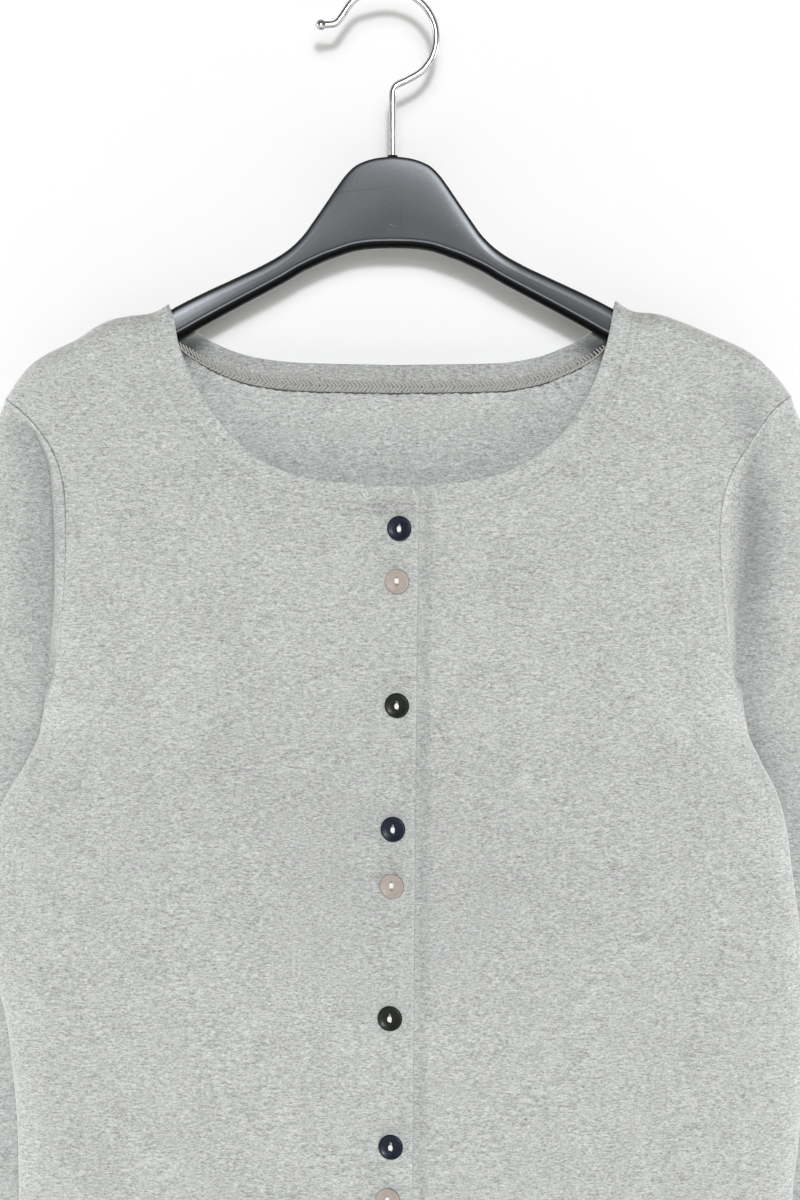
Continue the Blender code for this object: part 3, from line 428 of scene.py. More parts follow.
# The hanger's skin from its outline inwards: how far in it stands, how deep it is, its tone with painted
# shade on the rims and a painted highlight on the raised line, and how much of it is the satin face, for the
# upper edge and for the lower one with its raised line.
HANGER_SKIN = Table(
    "step in_top_mm deep_top_mm tone_top face_top in_low_mm deep_low_mm tone_low face_low",
    (0, 0, 0, 0.004, 0, 0, 0, 0.002, 0),
    (1, 0.1, 1.8, 0.004, 0, 0, 2.4, 0.002, 0),
    (2, 0.3, 3.6, 0.006, 0, 0.2, 4.4, 0.002, 0),
    (3, 0.6, 4.9, 0.01, 0, 0.8, 5.6, 0.003, 0),
    (4, 1, 5.6, 0.014, 0, 1.8, 6, 0.004, 0),
    (5, 1.4, 5.7, 0.02, 0, 2.6, 6, 0.01, 0),
    (6, 1.7, 5.5, 0.035, 0.4, 2.9, 6, 0.24, 0),
    (7, 2.1, 5.3, 0.05, 1, 3.4, 5.7, 0.18, 0),
    (8, 2.4, 5.2, 0.05, 1, 3.7, 5.3, 0.05, 0),
    (9, 2.7, 5.2, 0.05, 1, 4.2, 5.2, 0.04, 0.3),
    (10, 3, 5.2, 0.05, 1, 4.7, 5.2, 0.05, 1),
)
# The satin face's painted sheen, a painted highlight and shade, by its rise from the lower edge to the upper
# one, at places across the hanger.
HANGER_SHEEN = Table(
    "rise far_right right slope_right middle slope_left hip_left left far_left",
    (0, 0.14, 0.058, 0.05, 0.05, 0.05, 0.052, 0.038, 0.033),
    (0.2, 0.17, 0.064, 0.068, 0.053, 0.058, 0.066, 0.045, 0.035),
    (0.5, 0.28, 0.1, 0.088, 0.075, 0.092, 0.13, 0.058, 0.05),
    (0.75, 0.34, 0.138, 0.09, 0.105, 0.14, 0.29, 0.1, 0.095),
    (0.9, 0.47, 0.21, 0.08, 0.15, 0.23, 0.5, 0.18, 0.15),
    (1, 0.34, 0.16, 0.05, 0.21, 0.38, 0.38, 0.13, 0.08),
)
SHEEN_PLACES = (-0.105, -0.060, -0.026, 0.000, 0.026, 0.0446, 0.060, 0.105)
HANGER_COLUMNS = 400
HANGER_FILL = 14
FACE_TONE = 0.05
FACE_TOP_ROW = 7
ARM_START = 0.030
ARM_RIM = 0.45
HANGER_LEAST = 0.0125


def stack(*parts):
    """The arrays side by side along a new last axis."""
    return np.stack(parts, axis=-1)


def wrapped(grid, closed=True):
    """The grid with its first column again behind its last one, where it is closed."""
    return np.concatenate([grid, grid[:, :1]], axis=1) if closed else grid


def lengths(points):
    """Distance run along a line of points, or down each column of a grid, from its first."""
    steps = np.linalg.norm(np.diff(points, axis=0), axis=-1)
    return np.concatenate([np.zeros((1, *steps.shape[1:])), np.cumsum(steps, axis=0)])


def unit(vectors):
    """The vectors at length 1."""
    return vectors / np.maximum(np.linalg.norm(vectors, axis=-1, keepdims=True), 1e-12)


def turned(vectors, towards):
    """The vectors, each turned over where it points away from its given direction."""
    return vectors * np.where((vectors * towards).sum(axis=1, keepdims=True) < 0, -1.0, 1.0)


def smooth(t):
    """0 to 1 with level ends."""
    t = np.clip(t, 0.0, 1.0)
    return t * t * (3 - 2 * t)


def hermite(t, start, leave, end, arrive):
    """The place at t on a curve that leaves its start and arrives at its end with these tangents."""
    first = start * (1 + 2 * t) * (1 - t) ** 2 + leave * t * (1 - t) ** 2
    return first + end * t**2 * (3 - 2 * t) + arrive * t**2 * (t - 1)


def monotone(knots, values, at):
    """A smooth curve through the values that never overshoots them."""
    steps = np.diff(knots)
    slopes = np.diff(values) / steps
    tangents = np.zeros(len(knots))
    for k in range(1, len(knots) - 1):
        before, after = slopes[k - 1], slopes[k]
        if before * after > 0:
            ahead, behind = 2 * steps[k] + steps[k - 1], steps[k] + 2 * steps[k - 1]
            tangents[k] = (ahead + behind) / (ahead / before + behind / after)
    tangents[0], tangents[-1] = slopes[0], slopes[-1]
    at = np.clip(np.asarray(at, float), knots[0], knots[-1])
    k = np.clip(np.searchsorted(knots, at, side="right") - 1, 0, len(steps) - 1)
    leave, arrive = tangents[k] * steps[k], tangents[k + 1] * steps[k]
    return hermite((at - knots[k]) / steps[k], values[k], leave, values[k + 1], arrive)


def curve_through(points, count):
    """A smooth line of this many points through the given ones."""
    knots = lengths(points)
    at = np.linspace(0.0, knots[-1], count)
    return stack(*[monotone(knots, column, at) for column in points.T])


def refined(values, fine):
    """The values with others between them, so that each step becomes this many."""
    at = np.arange((len(values) - 1) * fine + 1) / fine
    return monotone(np.arange(len(values), dtype=float), np.array(values, float), at)


def along(points, fractions):
    """Points at these fractions of the length of a smooth curve through the given points."""
    curve = curve_through(np.asarray(points, float), CURVE_SAMPLES)
    run = lengths(curve)
    at = np.asarray(fractions) * run[-1]
    return stack(*[np.interp(at, run, column) for column in curve.T])


def width(x, drop):
    return np.where(x < 0, TORSO.read("right", drop), TORSO.read("left", drop))


def ridge_drop(x):
    x = np.asarray(x, float)
    return np.where(x < 0, RIDGE_RIGHT.read("drop", -x), RIDGE_LEFT.read("drop", x))


def depth(x, drop, towards):
    """How far the cloth's outer face stands from the hanger's plane, towards the front or the back."""
    squareness = FRONT_SQUARENESS if towards == "front" else BACK_SQUARENESS
    share = np.clip(np.abs(x) / width(x, drop), 0.0, 1.0)
    below = np.clip(drop - ridge_drop(x), 0.0, None)
    roll = RIDGE_RADIUS * np.sqrt(1 - (1 - np.minimum(below / RIDGE_RADIUS, 1.0)) ** 2)
    roll = roll * (1 - share**RIDGE_SQUARENESS) ** (1 / RIDGE_SQUARENESS)
    rise = 1 - np.exp(-below / RIDGE_RISE)
    belly = (TORSO.read(towards, drop) - RIDGE_RADIUS) * rise
    return roll + belly * (1 - share**squareness) ** (1 / squareness)


def surface(plan, towards):
    """Points of the cloth's outer face at places of (x, drop)."""
    x, drop = plan[..., 0], plan[..., 1]
    share = np.clip(np.abs(x) / width(x, drop), 0.0, 1.0)
    sign = -1.0 if towards == "front" else 1.0
    y = TORSO.read("side", drop) * share**SIDE_BEND + sign * depth(x, drop, towards)
    return stack(x, y, NECK_POINT_Z - drop)


def bend(drop):
    """How strongly a row's columns crowd towards the panel's outer edge: fully where the side curls."""
    lower = smooth((drop - CROWD_DROP) / (UNDERARM_DROP - CROWD_DROP))
    return EDGE_CROWDING + (1 - EDGE_CROWDING) * lower


def turn_of(x, drop, reach):
    """x as a turn, which runs to 1 at the outer edge; reach is that edge's own x at this drop."""
    crowd = bend(drop)
    return np.arcsin(np.clip(x / reach * crowd, -1, 1)) / np.arcsin(crowd)


def place_of(turn, drop, reach):
    """A turn back as x."""
    crowd = bend(drop)
    return np.sin(turn * np.arcsin(crowd)) / crowd * reach


def fill_patch(top, bottom, first, last):
    """A grid between four edges: rows run from top to bottom, columns from first to last."""
    down = (last[:, 1] - last[0, 1]) / (last[-1, 1] - last[0, 1])
    v, u = down[:, None, None], np.linspace(0, 1, len(top))[None, :, None]
    corners = (1 - v) * ((1 - u) * top[0] + u * top[-1]) + v * ((1 - u) * bottom[0] + u * bottom[-1])
    edges = (1 - v) * top[None] + v * bottom[None] + (1 - u) * first[:, None] + u * last[:, None]
    return edges - corners


def plan_back(top, bottom, first, last, shoulder):
    """The back's grid as (x, drop): its first rows stay level with the top edge, the rest run to the hem."""

    def both(of, points):
        """The points with x as a turn, or back, by the distance of the edge on their own side."""
        x, drop = points[..., 0], points[..., 1]
        right, left = (np.interp(drop, line[:, 1], np.abs(line[:, 0])) for line in (first, last))
        return stack(np.where(x < 0, of(x, drop, right), of(x, drop, left)), drop)

    fade = np.zeros((len(top), 1))
    fade[:shoulder, 0] = np.linspace(1, 0, shoulder)
    near_rows = NEAR_ROWS * FINE
    grid = np.zeros((len(first), len(top), 2))
    for row in range(near_rows + 1):
        level = (first[row] - first[0]) * (0.0, 1.0)
        moved = fade * (first[row] - first[0]) + fade[::-1] * (last[row] - last[0])
        grid[row] = top + moved + (1 - fade - fade[::-1]) * level
    below = slice(near_rows, None)
    edges = [both(turn_of, points) for points in (grid[near_rows], bottom, first[below], last[below])]
    grid[below] = both(place_of, fill_patch(*edges))
    grid[:, 0], grid[:, -1] = first, last
    return grid


def outer_edge(armhole, side):
    """A panel's outer edge as (x, drop): down the armhole, then down the side seam to the hem."""
    hole = along(armhole.rows, refined(ARMHOLE_ROWS, FINE))
    drops = UNDERARM_DROP + refined(SIDE_ROWS, FINE)[1:] * (HEM_DROP - UNDERARM_DROP)
    return np.concatenate([hole, stack(TORSO.read(side, drops), drops)]) * (SIGNS[side], 1.0)


def band_share(side, x, drop):
    """How far a front is doubled at x: 1 in its button band, 0 past the band's turned edge."""
    past = x - PLACKET.read("edge", drop)
    if side == "right":
        return np.clip((BAND_WIDTH + BAND_TAPER + past) / BAND_TAPER, 0, 1)
    return np.clip((UNDER_RAMP - past) / (UNDER_RAMP - UNDER_SUNK), 0, 1)


def fold_heights(places, folds):
    """How far the folds lift the cloth at these (x, drop) places."""
    flat = places.reshape(-1, 2)
    total = np.zeros(len(flat))
    for fold in folds:
        knots = lengths(fold.rows[:, :2])
        at = np.linspace(0.0, knots[-1], 48)
        line = stack(*[monotone(knots, column, at) for column in fold.rows.T])
        for start in range(0, len(flat), 4096):
            part = flat[start : start + 4096]
            squared = ((part[:, None, :] - line[None, :, :2]) ** 2).sum(axis=2)
            near = squared.argmin(axis=1)
            reach = squared[np.arange(len(part)), near]
            total[start : start + 4096] += line[near, 2] * np.exp(-reach / line[near, 3] ** 2)
    return total.reshape(places.shape[:-1])


def ripple(points, size, height, seed):
    """Wide uneven undulation of the cloth."""
    rng = np.random.default_rng(seed)
    total = np.zeros(points.shape[:-1])
    for _ in range(7):
        wave = rng.normal(size=3) * (1.0, 1.0, 0.6) / size
        total += np.sin(points @ wave * 2 * math.pi + rng.uniform(0, 2 * math.pi))
    return total * height / math.sqrt(7)


def seam_layer(places, line):
    """How far along a seam's line each place lies, and how far from it."""
    run = lengths(line)
    flat = places.reshape(-1, 2)
    away, at = np.zeros(len(flat)), np.zeros(len(flat))
    steps = np.diff(line, axis=0)
    squares = np.maximum((steps**2).sum(axis=1), 1e-18)
    for start in range(0, len(flat), 2048):
        part = flat[start : start + 2048]
        t = np.clip(((part[:, None] - line[None, :-1]) * steps).sum(axis=2) / squares, 0, 1)
        squared = ((part[:, None] - (line[None, :-1] + t[..., None] * steps)) ** 2).sum(axis=2)
        k = squared.argmin(axis=1)
        rows = np.arange(len(part))
        away[start : start + 2048] = np.sqrt(squared[rows, k])
        at[start : start + 2048] = run[k] + t[rows, k] * (run[k + 1] - run[k])
    return stack(at, away).reshape(places.shape)


def below_ridge(plan, reach):
    """0 at the shoulder's ridge, 1 from this far below it."""
    return smooth((plan[..., 1] - ridge_drop(plan[..., 0])) / reach)


def inside(plan, reach):
    """0 at the body's side, 1 from this far inside it."""
    return smooth((width(plan[..., 0], plan[..., 1]) - np.abs(plan[..., 0])) / reach)


def front_panel(side):
    """A front's plan, outer grid and walls: column 0 is its neckline and buttoned edge."""
    sign = SIGNS[side]
    if side == "right":
        neck, armhole = NECK_RIGHT, ARMHOLE_RIGHT
        band = (0.0, -BAND_WIDTH / 2, -BAND_WIDTH, -BAND_WIDTH - BAND_TAPER)
        corner, inner, outer = band[0], band[2], band[3]
    else:
        neck, armhole = NECK_LEFT, ARMHOLE_LEFT
        band = (-UNDER_BAND_WIDTH, UNDER_SUNK, (UNDER_SUNK + UNDER_RAMP) / 2, UNDER_RAMP)
        corner, inner, outer = band[0], band[1], band[3]
    neck_drop = float(neck.rows[0, 1])
    edge = float(PLACKET.read("edge", neck_drop))
    sides = neck.rows[neck.rows[:, 0] > abs(edge + outer)][::-1] * (sign, 1.0)
    bends = [(edge + outer, float(neck.read("drop", abs(edge + outer))))]
    bends = np.array(bends + [(edge + inner, neck_drop), (edge + corner, neck_drop)])
    neckline = along(np.vstack([sides, bends[:1]]), refined(NECK_ROWS, FINE))
    part = np.arange(1, FINE + 1)[:, None] / FINE
    corners = [a + (b - a) * part for a, b in zip(bends, bends[1:])]
    drops = neck_drop + refined(EDGE_ROWS, FINE)[1:] * (HEM_DROP - neck_drop)
    placket = stack(PLACKET.read("edge", drops) + corner, drops)
    first = np.concatenate([neckline, *corners, placket])
    last = outer_edge(armhole, side)
    hem_columns, band_columns = refined(NECK_HEM, FINE), refined(band, FINE)
    grid = np.zeros((len(first), len(band_columns) + FRONT_COLUMNS * FINE, 2))
    for row, (x, drop) in enumerate(first):
        share = min(max(row / FINE - len(NECK_ROWS), 0.0), 1.0)
        hem = x + (1 - share) * sign * hem_columns + share * (band_columns - corner)
        end_x, end_drop = last[row]
        turns = turn_of(hem * sign, end_drop, abs(end_x))
        turns = np.concatenate([turns, np.linspace(turns[-1], 1.0, FRONT_COLUMNS * FINE + 1)[1:]])
        grid[row, :, 0] = sign * place_of(turns, end_drop, abs(end_x))
        grid[row, :, 1] = drop + (grid[row, :, 0] - x) / (end_x - x) * (end_drop - drop)
    sag = ridge_drop(grid[0, :, 0]) - grid[0, :, 1]
    grid[..., 1] += np.exp(-lengths(last) / RIDGE_FADE)[:, None] * sag
    grid[:, -1] = last
    below = slice((len(NECK_ROWS) + 1) * FINE, None)
    for column, offset in enumerate(band_columns):
        grid[below, column, 0] = PLACKET.read("edge", grid[below, column, 1]) + offset
    points = surface(grid, "front")
    doubled = band_share(side, grid[..., 0], grid[..., 1])
    if side == "left":
        points[..., 1] += (BAND_WALL + LAYER_GAP) * doubled * doubled * (3 - 2 * doubled)
    return grid, points, WALL + (BAND_WALL - WALL) * doubled


def back_panel(fronts):
    """The back's plan and outer grid, from the wearer's right to the left, and one shoulder's columns."""
    right, left = outer_edge(BACK_ARMHOLE_RIGHT, "right"), outer_edge(BACK_ARMHOLE_LEFT, "left")
    shoulders = {}
    for side, (_, points, _) in fronts.items():
        ridge = points[0, ::-4]
        shoulders[side] = stack(ridge[:, 0], NECK_POINT_Z - ridge[:, 2])
    columns = refined(BACK_NECK_COLUMNS, BACK_FINE)
    neck_right = along(BACK_NECK_RIGHT.rows[::-1] * (-1.0, 1.0), columns)
    neck_left = along(BACK_NECK_LEFT.rows[::-1], columns)[::-1]
    top = np.vstack([shoulders["right"], neck_right[1:], neck_left[1:-1], shoulders["left"][::-1]])
    turns = np.linspace(-1, 1, len(top))
    reach = np.where(turns < 0, -right[-1, 0], left[-1, 0])
    hem = stack(np.sin(turns * math.pi / 2) * reach, np.full(len(turns), HEM_DROP))
    shoulder = len(shoulders["right"])
    plan = plan_back(top, hem, right, left, shoulder)
    return plan, surface(plan, "back"), shoulder


def normals_of(points, towards, closed=False, at=None):
    """Unit normals of a grid, on the side towards which the one at its middle, or at this place, looks."""
    if closed:
        around = np.concatenate([points[:, -1:], points, points[:, :1]], axis=1)
        across = (around[:, 2:] - around[:, :-2]) / 2
    else:
        across = np.gradient(points, axis=1)
    found = unit(np.cross(np.gradient(points, axis=0), across))
    return found if np.dot(found[at or (-1, points.shape[1] // 2)], towards) > 0 else -found


def seam_normals(line, outside):
    """Normals along a seam that lies in the hanger's plane or at the side: square to the seam and to Y."""
    return turned(unit(np.cross(np.gradient(line, axis=0), BACKWARDS)), outside)


def cap_grid(ring, side):
    """Outer grid of a sleeve from its armhole ring to the cuff."""
    sign = SIGNS[side]
    table = CAP_RIGHT if side == "right" else CAP_LEFT
    stations = np.arange(len(ring)) / FINE
    leave = unit(stack(*[table.read(name, stations) for name in ("out", "behind", "up")]))
    leave = leave * table.read("reach", stations)[:, None] * (sign, 1.0, 1.0)
    angle = np.radians(table.read("angle", stations))

    def ring_at(drop):
        out, behind, wide, deep = (SLEEVE.read(name, drop) for name in ("out", "behind", "wide", "deep"))
        x, y = sign * (out + wide * np.cos(angle)), behind - deep * np.sin(angle)
        return stack(x, y, np.full(len(angle), NECK_POINT_Z - drop))

    target = ring_at(float(SLEEVE.rows[0, 0]))
    arrive = np.array((0.0, 0.0, -CAP_ARRIVAL)) * np.linalg.norm(target - ring, axis=1, keepdims=True)
    rows = [hermite(t, ring, leave, target, arrive) for t in refined(CAP_STEPS, CAP_FINE)]
    return np.array(rows + [ring_at(drop) for drop in refined(SLEEVE_DROPS, CAP_FINE)[1:]])


def sleeve_runs(grid):
    """Cloth coordinates of a sleeve in metres: round it, always over its full turn, and down it."""
    u = lengths(wrapped(grid).swapaxes(0, 1)).T
    return u * (SLEEVE_TURN / u[:, -1:]), wrapped(lengths(grid))


def border(rows, columns):
    """The grid's places round its edge, once round."""
    loop = [(0, j) for j in range(columns)]
    loop += [(i, columns - 1) for i in range(1, rows)]
    loop += [(rows - 1, j) for j in range(columns - 2, -1, -1)]
    return loop + [(i, 0) for i in range(rows - 2, 0, -1)]


def quads(of):
    """The faces of a grid that holds the number of each place."""
    return stack(of[:-1, :-1], of[:-1, 1:], of[1:, 1:], of[1:, :-1]).reshape(-1, 4)


def ring_quads(upper, lower):
    """The faces between two closed rings of numbers."""
    return stack(upper, lower, np.roll(lower, -1), np.roll(upper, -1))


def wall_object(name, outer, inner, rims, layers, closed=False):
    """A closed wall between two grids, as a mesh with its layers of coordinates.

    rims gives how far the top, bottom, first and last edges round out, in metres. layers holds grids of
    (u, v), with one more column than the points where the wall is closed, or a pair of them for the outer
    and the inner face."""
    rows, columns = outer.shape[:2]
    place = wrapped(np.arange(rows * columns).reshape(rows, columns), closed)
    cell = np.arange(place.size).reshape(place.shape)
    points = [outer.reshape(-1, 3), inner.reshape(-1, 3)]
    faces = [quads(place), quads(place)[:, ::-1] + rows * columns]
    uvs = [quads(cell), quads(cell)[:, ::-1] + cell.size]
    top, bottom, first, last = rims
    loops = [border(rows, columns)]
    if closed:
        loops = [[(0, j) for j in range(columns)], [(rows - 1, j) for j in range(columns)][::-1]]
    count = 2 * rows * columns
    for loop in loops:
        push = np.zeros((len(loop), 3))
        for k, (i, j) in enumerate(loop):
            for at_edge, reach, other in (
                (i == 0, top, (1, j)),
                (i == rows - 1, bottom, (rows - 2, j)),
                (not closed and j == 0, first, (i, 1)),
                (not closed and j == columns - 1, last, (i, columns - 2)),
            ):
                if at_edge:
                    push[k] += reach * unit(outer[i, j] - outer[other])
        at = tuple(np.array(loop).T)
        middle, half = (outer[at] + inner[at]) / 2, (outer[at] - inner[at]) / 2
        rings = [place[at]]
        for step in range(1, RIM_STEPS + 1):
            turn = math.pi * step / (RIM_STEPS + 1)
            points.append(middle + half * math.cos(turn) + push * math.sin(turn))
            rings.append(count + np.arange(len(loop)))
            count += len(loop)
        rings.append(place[at] + rows * columns)
        faces += [ring_quads(upper, lower) for upper, lower in zip(rings, rings[1:])]
        uvs += [ring_quads(cell[at], cell[at])] * (len(rings) - 1)
    drawn = {}
    corners = np.concatenate(uvs).ravel()
    for key, grid in layers.items():
        pair = grid if isinstance(grid, tuple) else (grid, grid)
        drawn[key] = np.concatenate([part.reshape(-1, 2) for part in pair])[corners]
    return mesh_object(name, np.concatenate(points), np.concatenate(faces), drawn)


def linked(name, data):
    """A new object of the scene."""
    obj = bpy.data.objects.new(name, data)
    bpy.context.scene.collection.objects.link(obj)
    return obj


def turn_out(data, filled=False):
    """Turns all faces of the mesh outwards, after its open ends are filled where asked."""
    mesh = bmesh.new()
    mesh.from_mesh(data)
    if filled:
        bmesh.ops.holes_fill(mesh, edges=[edge for edge in mesh.edges if edge.is_boundary])
    bmesh.ops.recalc_face_normals(mesh, faces=mesh.faces)
    mesh.to_mesh(data)
    mesh.free()


def mesh_object(name, points, faces, layers=None):
    """A smooth mesh object of quads, facing out, with its coordinate layers given by face corner."""
    data = bpy.data.meshes.new(name)
    data.vertices.add(len(points))
    data.vertices.foreach_set("co", np.asarray(points, np.float32).ravel())
    data.loops.add(faces.size)
    data.loops.foreach_set("vertex_index", faces.astype(np.int32).ravel())
    data.polygons.add(len(faces))
    data.polygons.foreach_set("loop_start", np.arange(0, faces.size, faces.shape[1], dtype=np.int32))
    data.update(calc_edges=True)
    for key, values in (layers or {}).items():
        data.uv_layers.new(name=key).data.foreach_set("uv", values.astype(np.float32).ravel())
    data.validate()
    turn_out(data)
    data.shade_smooth()
    return linked(name, data)


def flat_layer(values, other=None, closed=False):
    """A layer that carries one value for each place, and a second one where it is given."""
    return wrapped(stack(values, np.zeros_like(values) if other is None else other), closed)


def knit_layer(plan):
    """The knit's own coordinates on a panel: round the body and down it."""
    return stack(np.arcsin(np.clip(plan[..., 0] / PANEL_TURN, -1, 1)) * PANEL_TURN, plan[..., 1])


def relaxed(grid):
    """The sleeve with its cloth drawn smooth round the underarm, where its rows crowd together."""
    columns, rows = np.arange(grid.shape[1]), np.arange(len(grid))
    near = 1 - smooth((np.abs(columns - ARMHOLE_COUNT + 1) - RELAX_COLUMNS) / RELAX_FADE)
    upper = (1 - smooth((rows - RELAX_ROWS) / RELAX_FADE)) * (rows > 0)
    share = RELAX_SHARE * upper[:, None, None] * near[None, :, None]
    for _ in range(RELAX_ROUNDS):
        around = (np.roll(grid, 1, axis=1) + np.roll(grid, -1, axis=1)) / 4
        around = around + (np.roll(grid, 1, axis=0) + np.roll(grid, -1, axis=0)) / 4
        grid = grid + share * (around - grid)
    return grid


def tucked(grid, ring):
    """The sleeve drawn in behind the front's edge above the underarm, so that its side stays out of sight."""
    share = np.zeros(grid.shape[:2])
    share[:, :ARMHOLE_COUNT] = 1 - smooth((np.arange(ARMHOLE_COUNT) - ARMHOLE_COUNT + 6) / 5)
    drop = NECK_POINT_Z - grid[..., 2]
    front = ring[:ARMHOLE_COUNT]
    front = front[np.argsort(-front[:, 2])]
    off = np.abs(grid[..., 0]) - np.interp(-grid[..., 2], -front[:, 2], np.abs(front[:, 0]))
    reach = smooth((drop - TUCK_TOP) / 0.020) * (1 - smooth((drop - TUCK_END) / 0.015))
    moved = TUCK * share * reach * smooth(off / 0.0030) * np.exp(-((np.maximum(off, 0) / 0.014) ** 2))
    grid[..., 0] -= np.sign(grid[..., 0]) * moved
    return grid


def beside(places, table):
    """Heights at these (x, drop) places along one line beside the body."""
    x, drop = places[..., 0], places[..., 1]
    off = x - table.read("x", drop)
    reach = np.where(off < 0, table.read("inner", drop), table.read("outer", drop))
    return table.read("height", drop) * np.exp(-((off / reach) ** 2))


def sleeve_relief(grid, side):
    """Soft folds of a sleeve, none at its seam: the valley beside the body, then creases round the arm.

    With them comes how strongly painted shade darkens each place, from 0 to 1."""
    u, v = (run[:, :-1] for run in sleeve_runs(grid))
    lift = fold_heights(stack(u, v), SLEEVE_FOLDS)
    lift = lift + ripple(grid, 0.07, 0.0005, 11 if side == "right" else 12) * smooth(v / 0.05)
    front = grid[:, :ARMHOLE_COUNT]
    places = stack(np.abs(front[..., 0]), NECK_POINT_Z - front[..., 2])
    # Painted shade beside the body, where the sleeve falls back.
    painted_shading = np.zeros(grid.shape[:2])
    painted_shading[:, :ARMHOLE_COUNT] = beside(places, SLEEVE_PAINTED_SHADE[side])
    lift[:, :ARMHOLE_COUNT] += beside(places, SLEEVE_VALLEYS[side])
    return lift * smooth(v / 0.004), painted_shading * smooth(v / 0.002)


def build_sleeve(side, ring, torso):
    """A sleeve on its armhole's ring, where the body has these normals.

    With it come the ring as the body's own edge, half the seam's gap away, and its normals there."""
    look = ((SIGNS[side], 0.0, 0.0), True, (len(CAP_STEPS) * CAP_FINE, 0))
    grid = tucked(relaxed(cap_grid(ring, side)), ring)
    relief, painted_shading = sleeve_relief(grid, side)
    grid = grid + normals_of(grid, *look) * relief[..., None]
    normals = normals_of(grid, *look)
    joint = unit(torso + normals[0])
    around = np.concatenate([ring[-1:], ring, ring[:1]])
    away = turned(unit(np.cross(joint, unit(around[2:] - around[:-2]))), grid[1] - ring)
    reach = WALL / np.clip((joint * torso).sum(axis=1, keepdims=True), LEAST_MITRE, 1.0)
    inner = grid - normals * WALL
    inner[0] = ring - joint * reach
    seam_side = (ring - inner[0]) / WALL
    u, v = sleeve_runs(grid)
    seam = stack(np.tile(lengths(around[1:]), (len(grid), 1)), v)
    for wall in (grid, inner):
        wall[0] += away * SEAM_GAP / 2
    layers = {"knit": stack(u, v), "armhole": seam, "painted_light": flat_layer(painted_shading, closed=True)}
    sleeve = wall_object("sleeve_" + side, grid, inner, SLEEVE_RIMS, layers, closed=True)
    return sleeve, ring - away * SEAM_GAP / 2, seam_side


